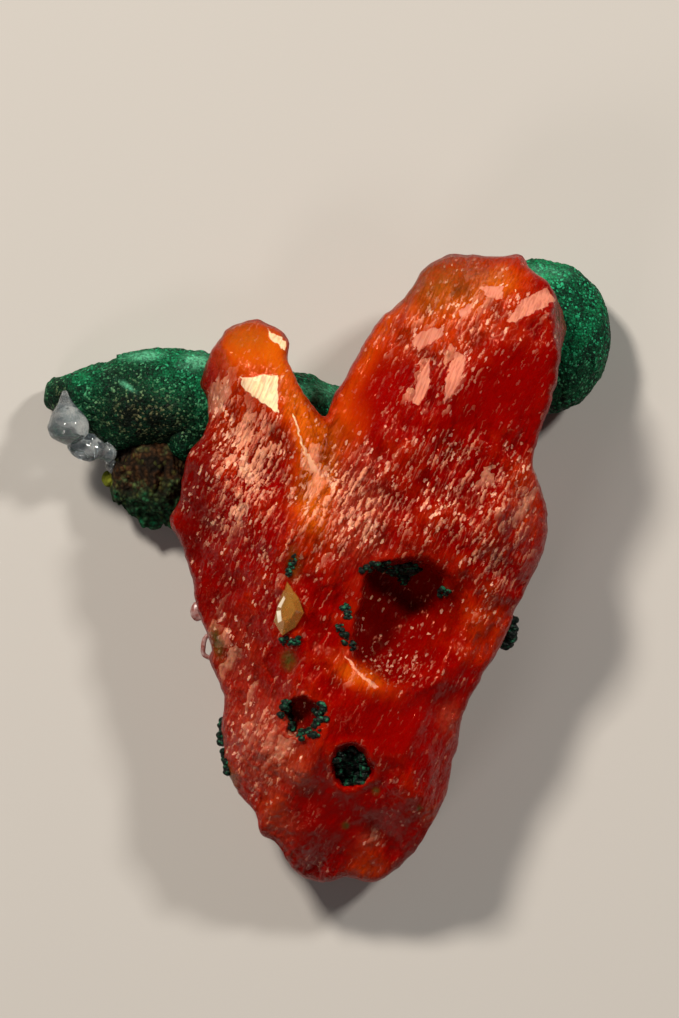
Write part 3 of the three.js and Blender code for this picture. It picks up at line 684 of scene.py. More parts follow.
# %% The malachite arm
# Each section is (x, upper edge, lower edge, height)
ARM = np.array([
    (-11.48, 7.95, 6.2, 2.5), (-10.9, 8.1, 5.9, 2.9), (-9.6, 8.5, 5.2, 3.5), (-8.4, 8.75, 4.6, 3.9),
    (-7.2, 8.9, 4.75, 4.0), (-6.0, 8.8, 4.6, 3.9), (-4.8, 8.7, 4.6, 3.8), (-3.0, 8.4, 4.4, 3.7),
    (-0.8, 7.9, 4.2, 3.6), (0.7, 7.3, 4.3, 3.4), (2.2, 6.6, 4.6, 2.9), (3.0, 6.2, 5.2, 2.2),
])
GRAINS = [(1.6, 0.14), (0.7, 0.1), (0.3, 0.06), (0.15, 0.045)]
t = np.linspace(0, np.pi, 300)
arm_x = ARM[0, 0] + (ARM[-1, 0] - ARM[0, 0]) * (1 - np.cos(t)) / 2
upper, lower, height = (np.interp(arm_x, ARM[:, 0], ARM[:, k]) for k in (1, 2, 3))
blunt = np.sin(t) ** 0.3
centres = np.stack([arm_x, (upper + lower) / 2, 0.42 * height], -1)
arm_rings = rings_of(centres, (upper - lower) / 2 * blunt, 0.56 * height * blunt, 220, GRAINS, 3)
skirt = lump((-5.7, 5.35, 2.2), (0.85, 0.9, 1.2), 60, 80, GRAINS, 7)
arm = growth("Malachite_arm", [arm_rings, skirt], ["malachite_arm"])

# %% [markdown]
# ## The nodule and the limonite
# The nodule behind the tall crystal is one grainy ball. The limonite under the arm is coarser and
# more broken: a large lump with deeper noise, a spur on its left and a foot that hangs down.

# %% The nodule and the limonite
ball = lump((8.87, 9.42, 2.0), (2.58, 3.05, 2.15), 180, 200, GRAINS, 11)
nodule = growth("Malachite_nodule", [ball], ["malachite_nodule"])
SPUR = (-8.9, 3.65, 1.7)
LIMONITE_GRAINS = [(1.0, 0.34), (0.5, 0.24), (0.25, 0.12), (0.13, 0.07)]
limonite = growth(
    "Limonite_lump",
    [
        lump((-7.1, 3.7, 1.5), (1.75, 1.85, 1.5), 140, 150, LIMONITE_GRAINS, 13),
        lump((-8.85, 3.65, 1.7), (0.3, 0.32, 0.3), 24, 28, [(0.3, 0.1), (0.15, 0.05)], 14),
        lump((-6.2, 2.3, 1.6), (0.6, 0.5, 0.7), 50, 60, LIMONITE_GRAINS, 15),
    ],
    ["limonite_lump"],
)

# %% [markdown]
# ## The drop of chalcedony
# A glassy grey-blue drop hangs on the arm's blunt end, and three flat beads trail off below it as
# a film. The drop is a set of round rings whose size swells from a neck to a ball, which is how a
# drop hangs. The beads are flat lumps that sink into it and into each other.

# %% The drop
DROP_PATH = [
    (-10.6, 7.2, 2.9), (-10.55, 6.7, 3.1), (-10.5, 6.2, 3.2), (-10.45, 5.8, 3.25), (-10.42, 5.3, 3.2),
    (-10.4, 4.98, 3.15),
]
DROP_SIZE = [0.05, 0.34, 0.7, 0.86, 0.7, 0.0]
DROP_RADIUS, DROP_LENGTH, DROP_RINGS = 0.86, 2.35, 90
t = np.linspace(0, 1, DROP_RINGS)
size = np.interp(t, np.linspace(0, 1, len(DROP_SIZE)), DROP_SIZE)
# A mean over 13 rings smooths the sizes, and none is more than a ball's section at its end.
size = np.convolve(np.pad(size, 6, mode="edge"), np.full(13, 1 / 13), "valid")
past_middle = (DROP_RADIUS - DROP_LENGTH * (1 - t)).clip(0)
size = np.minimum(size, np.sqrt(np.clip(DROP_RADIUS**2 - past_middle**2, 0, None)))
drop_rings = rings_of(curve_through(DROP_PATH, DROP_RINGS), size, size, 80, [(0.9, 0.07), (0.35, 0.03)], 17)
film = [
    lump((-9.75, 4.95, 2.75), (0.75, 0.5, 0.5), 50, 60, [(0.5, 0.14), (0.2, 0.05)], 18),
    lump((-9.05, 4.68, 2.3), (0.55, 0.38, 0.5), 40, 50, [(0.4, 0.14), (0.2, 0.05)], 19),
    lump((-8.75, 4.15, 1.95), (0.25, 0.26, 0.25), 24, 30, [(0.3, 0.1)], 20),
]
drop = growth("Chalcedony_drop", [drop_rings, *film], ["chalcedony_bead"])

# %% [markdown]
# ## The amber-coloured crystal
# A small clear crystal with flat faces is stuck to the seam between the two cuprite crystals. Its
# outline has seven corners. It rises straight from its foot, then narrows to a facet.

# %% The amber crystal
AMBER = np.array([
    (-1.6, -0.4), (-1.1, -1.1), (-0.9, -1.7), (-1.25, -2.3), (-1.8, -2.65), (-2.15, -2.05), (-1.95, -1.3),
])
PEAK = np.array([-1.6, -1.45])
seat = float(front_height(PEAK[0], PEAK[1]))
# Each level is (how far in towards the peak, height over the cuprite there)
levels = [(0.0, -0.9), (0.0, -0.9), (0.05, 0.2), (0.5, 0.55), (1.0, 0.6)]
amber_rings = np.array([
    [(*(corner + (PEAK - corner) * inward), seat + rise + 0.25 * (corner[0] - PEAK[0])) for corner in AMBER]
    for inward, rise in levels
])
amber = growth("Amber_crystal", [amber_rings], ["amber_crystal"], smooth=False)

# %% [markdown]
# ## Crusts
# Small dark green crusts sit in the cavity, the pits and the seam, and on the edges. Each is a
# handful of knobs, and a knob is a heap of tiny crumbs half sunk in the cuprite. The crumbs are
# placed on the cuprite's own surface, so they follow it wherever it goes.

# %% Where the crusts are
# Each knob is (x, y, half width, half height, rise over the front)
CRUSTS = {
    "cavity_crust_brow": [
        (1.4, 0.02, 0.3, 0.14, 0.05), (1.85, 0.14, 0.34, 0.16, 0.05), (2.35, 0.12, 0.34, 0.2, 0.05),
        (2.8, 0.02, 0.34, 0.26, 0.05), (3.2, -0.02, 0.3, 0.28, 0.05), (3.0, -0.35, 0.16, 0.26, 0.3),
        (3.5, 0.1, 0.18, 0.14, 0.05),
    ],
    "cavity_crust_wall": [(0.72, -1.45, 0.18, 0.22, 0.0), (0.8, -1.8, 0.16, 0.2, 0.0)],
    "cavity_crust_sill": [
        (0.52, -2.3, 0.14, 0.22, 0.0), (0.68, -2.7, 0.13, 0.24, 0.0), (1.02, -3.05, 0.16, 0.2, 0.0),
    ],
    "cavity_crust_speck": [(4.6, -0.9, 0.24, 0.18, 0.0)],
    "pit_crust_left": [
        (-1.62, -5.35, 0.2, 0.22, 0.05), (-1.66, -5.75, 0.22, 0.26, 0.0), (-1.5, -6.15, 0.18, 0.2, 0.0),
    ],
    "pit_crust_right": [
        (-0.32, -5.5, 0.2, 0.3, 0.05), (-0.3, -5.95, 0.24, 0.32, 0.0), (-0.5, -6.38, 0.26, 0.22, 0.0),
        (-0.95, -6.55, 0.26, 0.16, 0.0),
    ],
    "pit_crust_cluster": [
        (0.55, -7.55, 0.3, 0.26, 0.2), (1.0, -7.35, 0.34, 0.24, 0.2), (0.75, -7.95, 0.34, 0.26, 0.3),
        (1.25, -7.75, 0.3, 0.3, 0.3), (1.2, -8.25, 0.3, 0.26, 0.2), (0.8, -8.4, 0.24, 0.2, 0.1),
        (1.5, -8.05, 0.16, 0.2, 0.1),
    ],
    "seam_crust_upper": [
        (-1.5, -0.05, 0.11, 0.2, 0.0), (-1.42, 0.2, 0.11, 0.2, 0.0), (-1.3, 0.45, 0.09, 0.18, 0.0),
    ],
    "seam_crust_lower": [(-1.6, -2.84, 0.24, 0.15, 0.0), (-1.2, -2.8, 0.22, 0.16, 0.0)],
}
# Those on the walls are (outermost x, y, half height, half width, height over the floor)
WALL_CRUSTS = {
    "left_crust_upper": [(-4.3, -6.3, 0.2, 0.24, 3.8), (-4.28, -6.75, 0.22, 0.26, 4.05)],
    "left_crust_lower": [(-4.15, -7.5, 0.2, 0.22, 4.4), (-4.02, -7.9, 0.24, 0.22, 4.6)],
    "right_crust": [(7.5, -2.3, 0.3, 0.3, 2.95), (7.42, -2.7, 0.3, 0.34, 2.6), (7.3, -2.5, 0.3, 0.34, 2.3)],
}
print("crusts:", len(CRUSTS) + len(WALL_CRUSTS))

# %% [markdown]
# A crumb is a very coarse lump, which makes it angular like a tiny crystal. Its place, size and
# height come from fixed numbers, so the crusts are the same in each run. On the walls, a crumb is
# seated between the nearest point of the stone and the crust's outer face.

# %% The crusts
CRUMBS_ON_FRONT, CRUMBS_ON_WALL = 14, 20


def surface_height(x, y):
    """Height of the finished front, edge rounding included."""
    return float(finished_front(x, y, min(np.hypot(outline[:, 0] - x, outline[:, 1] - y))))


def crumb(centre, size, tall, seed):
    """A small angular crumb: few rings, pushed in and out a lot, so it looks like a tiny crystal."""
    bumps = [(0.22, 0.5 * size), (0.1, 0.25 * size)]
    return lump(centre, (size * 1.3, size, size * tall), 9, 11, bumps, seed)


def crumbs_on_front(knobs, seed):
    """Ring sets of a crust: each knob breaks into crumbs, scattered by fixed numbers. The square
    root of the first spreads them evenly over the knob's oval."""
    sets = []
    for k, c in np.ndindex(len(knobs), CRUMBS_ON_FRONT):
        x, y, wide, tall, rise = knobs[k]
        a, b, r = (float(hashed(k, c, n, seed)) for n in (1, 2, 3))
        far, turn = 1.05 * a**0.5, 2 * np.pi * b
        x, y = x + wide * far * np.cos(turn), y + tall * far * np.sin(turn)
        size = (0.17 + 0.5 * r**2) * min(wide, tall) + 0.02
        sets.append(crumb((x, y, rise + surface_height(x, y)), size, 0.8 + 0.5 * a, 60 + seed * 9 + k + c))
    return sets


def crumbs_on_wall(knobs, seed):
    """The same on a wall: a crumb lies between the nearest point of the stone and the crust's face."""
    sets = []
    for k, c in np.ndindex(len(knobs), CRUMBS_ON_WALL):
        face, y, tall, wide, height = knobs[k]
        a, b, r = (float(hashed(k, c, n, seed)) for n in (1, 2, 3))
        spot = np.array([face, y + wide * (2 * b - 1), height + tall * (2 * r - 1)])
        seat = skin[np.argmin(np.sum((skin - spot) ** 2, axis=1))]
        x = seat[0] + a * (face - seat[0])
        sets.append(crumb((x, spot[1], spot[2]), (0.3 + 0.3 * r) * wide + 0.02, 1.0, 60 + seed * 9 + k + c))
    return sets


crusts = [
    growth(node.title() + "_grains", crumbs_on_front(knobs, seed), [node], smooth=False)
    for seed, (node, knobs) in enumerate(CRUSTS.items())
]
crusts += [
    growth(node.title() + "_grains", crumbs_on_wall(knobs, 31 + seed), [node], smooth=False)
    for seed, (node, knobs) in enumerate(WALL_CRUSTS.items())
]
print("crust pieces:", len(crusts))

# %% [markdown]
# ## Materials
# One function turns a colour as a screen shows it into the linear numbers that the renderer mixes, and one
# adds a node. A stone's colour is a stack of thin layers over a ground, because that is how the eye reads it:
# deep colour, then stains and frost, and on the cuprite and the malachite, painted glow, shade, highlights
# and sparkle. Patterns read Object coordinates, which are turned to millimetres first, so that every scale
# below is a real size.


# %% Colours, nodes and layers
def srgb(code):
    """Linear colour of a hex code: below 0.04045 a twelfth and a bit, above it the power 2.4."""
    values = [int(code[i : i + 2], 16) / 255 for i in (1, 3, 5)]
    return [c / 12.92 if c <= 0.04045 else ((c + 0.055) / 1.055) ** 2.4 for c in values] + [1.0]


def add(tree, kind, inputs=(), **settings):
    """Adds a node, sets its settings and fills its inputs, by name or in order. A value is set, a
    socket is linked, and a node stands for its first output."""
    node = tree.nodes.new("ShaderNode" + kind)
    for key, value in settings.items():
        setattr(node, key, value)
    for key, value in inputs.items() if isinstance(inputs, dict) else enumerate(inputs):
        if isinstance(value, bpy.types.Node):
            value = value.outputs[0]
        if isinstance(value, bpy.types.NodeSocket):
            tree.links.new(value, node.inputs[key])
        else:
            node.inputs[key].default_value = value
    return node


def new_material(name):
    """An empty material, its node tree, and Object coordinates in millimetres."""
    material = bpy.data.materials.new(name)
    material.use_nodes = True
    tree = material.node_tree
    tree.nodes.clear()
    place = add(tree, "TexCoord").outputs["Object"]
    return material, tree, add(tree, "Mapping", {"Vector": place, "Scale": (1 / MM, 1 / MM, 1 / MM)})


def layered(tree, ground, layers):
    """Lays colours over a ground. Each layer is (share, times, colour): it covers by the product of
    the first two, and its colour is a hex code or a node."""
    for share, times, colour in layers:
        cover = add(tree, "Math", [share, times], operation="MULTIPLY", use_clamp=True)
        colour = srgb(colour) if isinstance(colour, str) else colour
        ground = add(tree, "MixRGB", [cover, ground, colour])
    return ground


def bumped(tree, heights):
    """The surface's direction once heights in millimetres are added to it."""
    return add(tree, "Bump", {"Height": heights, "Strength": 1.0, "Distance": MM})


print("cuprite's red, linear", srgb("#8E0100"))

# %% [markdown]
# ## Patterns of an etched crystal
# An etched face is a mosaic of long, jagged plates that lie one way, each at its own tilt. Voronoi cells give
# the mosaic: coordinates are turned and stretched first, and wobbled so that the cells' edges aren't
# straight. The large facets, which carry a painted reflection of the light, have straight edges, so they are
# drawn as polygons.


# %% Cells and facets
MIDDLE = (0.5, 0.5, 0.5)
TO_LIGHT = (0.35, 0.9, 0.0)


def stretched(tree, mm, bearing, length, width):
    """Coordinates measured in lengths along a bearing and in widths across it."""
    turned = add(tree, "Mapping", {"Vector": mm, "Rotation": (0, 0, -np.radians(bearing))})
    return add(tree, "Mapping", {"Vector": turned, "Scale": (1 / length, 1 / width, 0.5 / width)})


def cells(tree, mm, bearing, length, width, depth):
    """Long jagged cells at a bearing. Gives each cell's random number, how far a point is to the
    lit side of its cell's centre, and the height of a plane through that centre with a random
    slope, in mm."""
    wobble = add(tree, "TexNoise", {"Vector": mm, "Scale": 1.2 / width, "Detail": 1.0}).outputs["Color"]
    moved = add(tree, "VectorMath", [wobble, MIDDLE], operation="SUBTRACT")
    moved = add(tree, "VectorMath", [moved, (1.1 * width,) * 3, mm], operation="MULTIPLY_ADD")
    place = stretched(tree, moved, bearing, length, width)
    near = add(tree, "TexVoronoi", {"Vector": place, "Scale": 1.0})
    inside = add(tree, "VectorMath", [place, near.outputs["Position"]], operation="SUBTRACT")
    slope = add(tree, "VectorMath", [near.outputs["Color"], MIDDLE], operation="SUBTRACT")
    product = add(tree, "VectorMath", [inside, slope], operation="DOT_PRODUCT").outputs["Value"]
    number = add(tree, "SeparateColor", [near.outputs["Color"]]).outputs["Blue"]
    lit_side = add(tree, "VectorMath", [inside, TO_LIGHT], operation="DOT_PRODUCT").outputs["Value"]
    return number, lit_side, add(tree, "Math", [product, 2 * depth], operation="MULTIPLY")


def inside_facet(tree, mm, corners):
    """1 inside a facet with straight edges, 0 outside: the least distance to its edges, each the
    dot product with the edge's inward direction, less that of a corner on the edge."""
    least = 99.0
    for corner, inward in inward_edges(corners):
        along = add(tree, "VectorMath", [mm, (*inward, 0.0)], operation="DOT_PRODUCT").outputs["Value"]
        depth = add(tree, "Math", [along, float(inward @ corner)], operation="SUBTRACT")
        least = add(tree, "Math", [least, depth], operation="MINIMUM")
    return add(tree, "MapRange", [least, -0.01, 0.02])


stone, tree, mm = new_material("Cuprite, etched and translucent")
large_number, large_side, large_height = cells(tree, mm, 62, 1.3, 0.5, 0.07)
small_number, small_side, small_height = cells(tree, mm, 66, 0.55, 0.16, 0.05)
tiny_number, _, tiny_height = cells(tree, mm, 60, 0.18, 0.08, 0.012)
cloud = add(tree, "TexNoise", {"Vector": mm, "Scale": 0.9, "Detail": 5.0, "Roughness": 0.6})
grain = add(tree, "TexNoise", {"Vector": mm, "Scale": 5.0, "Detail": 4.0, "Roughness": 0.65})
lines = add(tree, "TexNoise", {"Vector": stretched(tree, mm, 68, 0.9, 0.09), "Scale": 1.0})
wobble = add(tree, "TexNoise", {"Vector": mm, "Scale": 3.5, "Detail": 2.0}).outputs["Color"]
jagged = add(tree, "VectorMath", [wobble, (0.3, 0.3, 0.0), mm], operation="MULTIPLY_ADD")
jagged = add(tree, "VectorMath", [jagged, (0.15, 0.15, 0.0)], operation="SUBTRACT")
# Painted reflections of the light on the large facets: 1 inside one of them
facet_reflection = 0.0
for corners in BRIGHT_FACETS:
    facet_reflection = add(tree, "Math", [facet_reflection, inside_facet(tree, jagged, corners)], operation="MAXIMUM")
print("patterns of the cuprite:", len(tree.nodes), "nodes")

# %% [markdown]
# ## Cuprite
# Cuprite is copper oxide: a soft, heavy, adamantine stone, blood red in depth, with a bright glassy lustre.
# Its etched plates mirror the light each at its own angle, so a painted highlight makes some of them pale and
# most are dark. A cell is painted pale where its random number is high, and more of them are on the scaly and
# the faceted parts. Painted sparkles are the same at the smallest size, and also line the cavity. The painted
# orange glow is gathered here too.

# %% Where highlights, sparkles and glow are painted on the cuprite
glow, bloom, hollow_shade, etched, ridge_glow_and_shade, scaly, faceted, shaded_flank, stain, cream_reflection = (
    add(tree, "Attribute", attribute_name=name).outputs["Fac"]
    for name in ("glow", "bloom", "hollow_and_shade", "etched", "ridge", "scales", "facets", "shaded_flank", "stain", "cream")
)
mosaic = add(tree, "Math", [scaly, faceted], operation="MAXIMUM")
# Painted highlights: pale plates on the side that faces the light
lights = []
for number, side, where, weight, start, end, most in (
    (large_number, large_side, faceted, 0.35, 1.08, 1.3, 0.7),
    (small_number, small_side, scaly, 0.7, 1.15, 1.55, 0.95),
):
    light = add(tree, "Math", [number, where], operation="ADD")
    light = add(tree, "Math", [side, weight, light], operation="MULTIPLY_ADD")
    lights.append(add(tree, "MapRange", [light, start, end, 0.0, most]))
lit = add(tree, "Math", lights, operation="MAXIMUM")
lit = add(tree, "Math", [lit, add(tree, "MapRange", [grain, 0.3, 0.6, 0.6, 1.0])], operation="MULTIPLY")
on_etched = add(tree, "MapRange", [etched, 0.0, 0.7, 0.15, 1.0])
# Painted sparkles: a few tiny cells, more of them in the hollows and on the scaly parts
sparkling = add(tree, "Math", [hollow_shade, 0.12, mosaic], operation="MULTIPLY_ADD", use_clamp=True)
sparkling = add(tree, "Math", [sparkling, 0.28, tiny_number], operation="MULTIPLY_ADD")
painted_sparkle = add(tree, "MapRange", [sparkling, 0.975, 1.02, 0.0, 0.8])
in_groups = add(tree, "MapRange", [cloud, 0.44, 0.58, 0.1, 1.0])
painted_sparkle = add(tree, "Math", [painted_sparkle, in_groups], operation="MULTIPLY")
uneven = add(tree, "Math", [etched, hollow_shade], operation="MAXIMUM")
uneven = add(tree, "MapRange", [uneven, 0.1, 0.8, 0.25, 1.0])
# The orange glow is painted: its ovals, varied by cloud, and more of it on the ridges
cloudy = add(tree, "MapRange", [cloud, 0.35, 0.7, -0.14, 0.14])
painted_glow = add(tree, "Math", [cloudy, etched, glow], operation="MULTIPLY_ADD", use_clamp=True)
# More painted glow on the ridges
ridge_glow = add(tree, "MapRange", [ridge_glow_and_shade, 0.6, 1.0, 0.0, 0.08])
painted_glow = add(tree, "Math", [painted_glow, ridge_glow], operation="ADD", use_clamp=True)
print("with its lights:", len(tree.nodes), "nodes")

# %% [markdown]
# The ground is the stone's deep red. A painted glow turns it orange where light comes through, and painted
# shade darkens the grooves, each scale's side turned from the light, the hollows, the faces turned from the
# light and the outline's walls. Frost makes it pinkish, and painted highlights make it pale on the plates
# that face the light and on the large facets. Fine dark lines run along the crystals, some of them painted
# pale as glints, and moss-green stain lies in a few spots.

# %% The cuprite's colour
body = layered(tree, srgb("#8E0100"), [
    # Painted glow: orange where light comes through
    (add(tree, "MapRange", [painted_glow, 0.0, 0.5]), 1.0, "#B83002"),
    (add(tree, "MapRange", [painted_glow, 0.5, 1.0]), 1.0, "#CC5A06"),
    # Painted shade in the grooves
    (add(tree, "MapRange", [ridge_glow_and_shade, 0.5, 0.1, 0.0, 0.45]), 1.0, "#5A0100"),
    (bloom, add(tree, "MapRange", [grain, 0.32, 0.62, 0.2, 0.9]), "#A8462E"),
    # Painted shade on each scale's side turned from the light
    (mosaic, add(tree, "MapRange", [small_side, 0.0, -0.35, 0.0, 0.85]), "#560100"),
])
# The pale colour of the painted highlights and glints
painted_highlight = add(tree, "MixRGB", [0.74, body, srgb("#FFB48E")])
# Fine lines painted pale as glints
fibre_glints = add(tree, "MapRange", [lines, 0.6, 0.72, 0.0, 0.7])
body = layered(tree, body, [
    # Painted highlights on the plates that face the light
    (lit, on_etched, painted_highlight),
    # Painted shade in the hollows and on faces turned from the light
    (hollow_shade, 0.8, "#640100"),
    # Painted sparkles
    (painted_sparkle, uneven, "#FFC4A4"),
    # Painted shade on the outline's walls
    (shaded_flank, 0.5, "#6E0400"),
    (etched, add(tree, "MapRange", [lines, 0.5, 0.34, 0.0, 0.4]), "#640300"),
    # Painted glints along the fine lines
    (add(tree, "Math", [fibre_glints, mosaic], operation="MULTIPLY"), etched, painted_highlight),
    (stain, add(tree, "MapRange", [grain, 0.35, 0.55, 0.5, 1.0]), "#3E4A18"),
    # Painted reflections of the light on the large facets
    (
        facet_reflection,
        add(tree, "MapRange", [lines, 0.36, 0.54, 0.65, 1.0]),
        add(tree, "MixRGB", [cream_reflection, srgb("#DC8C72"), srgb("#FFE2B4")]),
    ),
])
print("with its colours:", len(tree.nodes), "nodes")

# %% [markdown]
# Light enters cuprite and spreads a millimetre or two, red farthest, so thin edges glow. The plates,
# the fine lines and the grain are also given as heights, which is what breaks up the gloss.

# %% The cuprite's relief and shader
heights = add(tree, "Math", [large_height, small_height], operation="ADD")
heights = add(tree, "Math", [heights, etched, tiny_height], operation="MULTIPLY_ADD")
fine = add(tree, "TexNoise", {"Vector": mm, "Scale": 3.0, "Detail": 2.0})
blobs = add(tree, "TexNoise", {"Vector": mm, "Scale": 2.4, "Detail": 1.0})
for relief, where in (
    (add(tree, "MapRange", [lines, 0.3, 0.7, 0.0, 0.016]), etched),
    (add(tree, "MapRange", [fine, 0.2, 0.8, -0.006, 0.006]), 1.0),
    (add(tree, "MapRange", [blobs, 0.3, 0.7, 0.0, 0.14]), bloom),
):
    heights = add(tree, "Math", [relief, where, heights], operation="MULTIPLY_ADD")
frosted = add(tree, "Math", [bloom, 0.2], operation="MULTIPLY")
frosted = add(tree, "Math", [frosted, shaded_flank], operation="MAXIMUM")
polish = add(tree, "MapRange", [grain, 0.3, 0.75, 0.05, 0.13])
shader = add(tree, "BsdfPrincipled", {
    "Base Color": body,
    "Roughness": add(tree, "Math", [frosted, 0.25, polish], operation="MULTIPLY_ADD"),
    "IOR": 1.5,
    "Specular IOR Level": 0.2,
    "Specular Tint": srgb("#FF9472"),
    "Subsurface Weight": 0.5,
    "Subsurface Radius": (1.0, 0.12, 0.04),
    "Subsurface Scale": 0.6 * MM,
    "Normal": bumped(tree, heights),
})
add(tree, "OutputMaterial", {"Surface": shader})
cuprite.data.materials.append(stone)
print(stone.name, len(tree.nodes), "nodes")

# %% [markdown]
# The loop and the flake are so thin that they look frosted and nearly colourless, with red showing
# through in places. Two colours mixed by noise, and a little plain transmission, give that.

# %% The material of the loop and the flake
thin_stone, tree, mm = new_material("Cuprite splinters, thin and frosted")
frosting = add(tree, "TexNoise", {"Vector": mm, "Scale": 6.0, "Detail": 4.0})
reddish = add(tree, "MapRange", [frosting, 0.35, 0.65])
shader = add(tree, "BsdfPrincipled", {
    "Base Color": layered(tree, srgb("#C8A8A4"), [(reddish, 1.0, "#9A4438")]),
    "Roughness": 0.3,
    "IOR": 1.5,
    "Transmission Weight": 0.3,
})
add(tree, "OutputMaterial", {"Surface": shader})
splinters.data.materials.append(thin_stone)
print(thin_stone.name, len(tree.nodes), "nodes")

# %% [markdown]
# ## Malachite
# The malachite is a velvet of fine needles and grains. The pattern's cells are 0.08 mm wide, about as in the
# photo at this size, and the mesh's own grains are coarser, 0.15 mm. Velvet like this swallows light and
# sends back sparks from the ends of its needles, so painted shade darkens the gaps between the grains, bright
# green lies on them, painted sparks glint on a few, and a few are glossy. Parts of it are darker, with
# olive-brown sparks, and a pale green painted highlight lies along the tops that face the light.

# %% Dark parts and painted top highlights on the malachite
for piece, dusk_spots, rime_spots in (
    (
        arm,
        [(-7.5, 6.1, 2.7, 1.5, -5, 1.0), (-10.9, 7.0, 0.6, 0.8, 0, 0.8), (-8.0, 8.0, 1.2, 0.7, 0, 0.4)],
        [
            (-5.2, 8.35, 0.7, 0.35, 0, 0.8), (-7.4, 8.6, 0.8, 0.2, 4, 0.7), (-8.1, 7.4, 0.4, 0.12, -35, 0.5),
            (-0.4, 7.1, 0.9, 0.4, 0, 0.5),
        ],
    ),
    (
        nodule,
        [(7.8, 6.8, 2.0, 1.0, 20, 0.7), (10.6, 7.6, 1.0, 1.2, 0, 0.3)],
        [(8.6, 11.9, 1.2, 0.4, 0, 0.25)],
    ),
):
    spots = np.empty(3 * len(piece.data.vertices), np.float32)
    piece.data.vertices.foreach_get("co", spots)
    x, y = spots.reshape(-1, 3).T[:2] / MM
    keep_values(piece, dusk=patch(x, y, dusk_spots), rime=patch(x, y, rime_spots))
    print(piece.name, "has dusk on", round(float(np.mean(patch(x, y, dusk_spots))), 3), "of its points")

# %% [markdown]
# The grains are Voronoi cells: the distance from a cell's centre gives the painted shade in the gaps and the
# relief, and the cell's random colour picks the painted sparks and the glossy grains. Three sizes of noise
# vary the green, because malachite is banded and dusty.

# %% The malachite material
velvet, tree, mm = new_material("Malachite, velvety druse")
grains = add(tree, "TexVoronoi", {"Vector": mm, "Scale": 12.0, "Randomness": 1.0})
spark = add(tree, "SeparateColor", [grains.outputs["Color"]])
fuzz = add(tree, "TexNoise", {"Vector": mm, "Scale": 7.0, "Detail": 4.0, "Roughness": 0.7})
broad = add(tree, "TexNoise", {"Vector": mm, "Scale": 0.7, "Detail": 5.0, "Roughness": 0.65})
dusting = add(tree, "TexNoise", {"Vector": mm, "Scale": 2.2, "Detail": 6.0, "Roughness": 0.75})
dusk, rime = (add(tree, "Attribute", attribute_name=name).outputs["Fac"] for name in ("dusk", "rime"))
rime_dust = add(tree, "MapRange", [dusting, 0.35, 0.6, 0.1, 1.2])
rime = add(tree, "Math", [rime, rime_dust], operation="MULTIPLY", use_clamp=True)
green = layered(tree, srgb("#088C54"), [
    (add(tree, "MapRange", [broad, 0.38, 0.62]), 1.0, "#02482C"),
    (add(tree, "MapRange", [dusting, 0.4, 0.58, 0.0, 0.9]), 1.0, "#011E14"),
    (add(tree, "MapRange", [fuzz, 0.52, 0.7, 0.0, 0.5]), 1.0, "#12A468"),
    (dusk, add(tree, "MapRange", [dusting, 0.62, 0.4, 0.55, 1.2]), "#0A120A"),
    # Painted shade in the gaps between the grains
    (add(tree, "MapRange", [grains, 0.25, 0.8, 0.0, 0.85]), 1.0, "#010C08"),
    # Painted sparks on a few grains
    (
        add(tree, "MapRange", [spark, 0.8, 0.92, 0.0, 0.8]),
        add(tree, "MapRange", [dusting, 0.36, 0.56]),
        add(tree, "MixRGB", [dusk, srgb("#2CB880"), srgb("#6E6C4A")]),
    ),
    # Painted highlight in pale green along the tops that face the light
    (rime, add(tree, "MapRange", [fuzz, 0.38, 0.56, 0.25, 1.0]), "#74DCAC"),
])
shader = add(tree, "BsdfPrincipled", {
    "Base Color": green,
    "Roughness": add(tree, "MapRange", [spark.outputs["Green"], 0.8, 0.95, 0.7, 0.2]),
    "IOR": 1.45,
    "Specular IOR Level": 0.12,
    "Normal": bumped(tree, add(tree, "Math", [grains, -0.04], operation="MULTIPLY")),
})
add(tree, "OutputMaterial", {"Surface": shader})
for piece in (arm, nodule):
    piece.data.materials.append(velvet)
print(velvet.name, len(tree.nodes), "nodes")

# %% [markdown]
# ## Limonite
# Limonite is earthy brown iron rust. Here it carries specks of green, more of them low down, and
# its small spur on the left is yellowish green. It gives back almost no shine.

# %% The limonite material
earth, tree, mm = new_material("Limonite, earthy with green specks")
patches = add(tree, "TexNoise", {"Vector": mm, "Scale": 1.1, "Detail": 6.0, "Roughness": 0.7})
specks = add(tree, "TexVoronoi", {"Vector": mm, "Scale": 5.5, "Randomness": 1.0})
pick = add(tree, "SeparateColor", [specks.outputs["Color"]])
low_down = add(tree, "MapRange", [add(tree, "SeparateXYZ", [mm]).outputs["Y"], 3.9, 2.4, -0.2, 0.7])
in_patches = add(tree, "MapRange", [patches, 0.45, 0.62, -0.2, 0.6])
from_spur = add(tree, "VectorMath", [mm, SPUR], operation="DISTANCE").outputs["Value"]
brown = layered(tree, srgb("#1C140C"), [
    (add(tree, "MapRange", [patches, 0.38, 0.62]), 1.0, "#5A3A20"),
    (add(tree, "Math", [in_patches, low_down], operation="ADD", use_clamp=True), 1.0, "#0A6640"),
    (add(tree, "MapRange", [pick, 0.88, 0.96, 0.0, 0.25]), 1.0, "#6E7A3A"),
    (add(tree, "MapRange", [specks, 0.2, 0.7, 0.0, 0.8]), 1.0, "#060604"),
    (add(tree, "MapRange", [from_spur, 0.42, 0.25, 0.0, 0.7]), 1.0, "#8C962A"),
])
shader = add(tree, "BsdfPrincipled", {
    "Base Color": brown,
    "Roughness": 0.8,
    "IOR": 1.45,
    "Specular IOR Level": 0.12,
    "Normal": bumped(tree, add(tree, "Math", [specks, -0.07], operation="MULTIPLY")),
})
add(tree, "OutputMaterial", {"Surface": shader})
limonite.data.materials.append(earth)
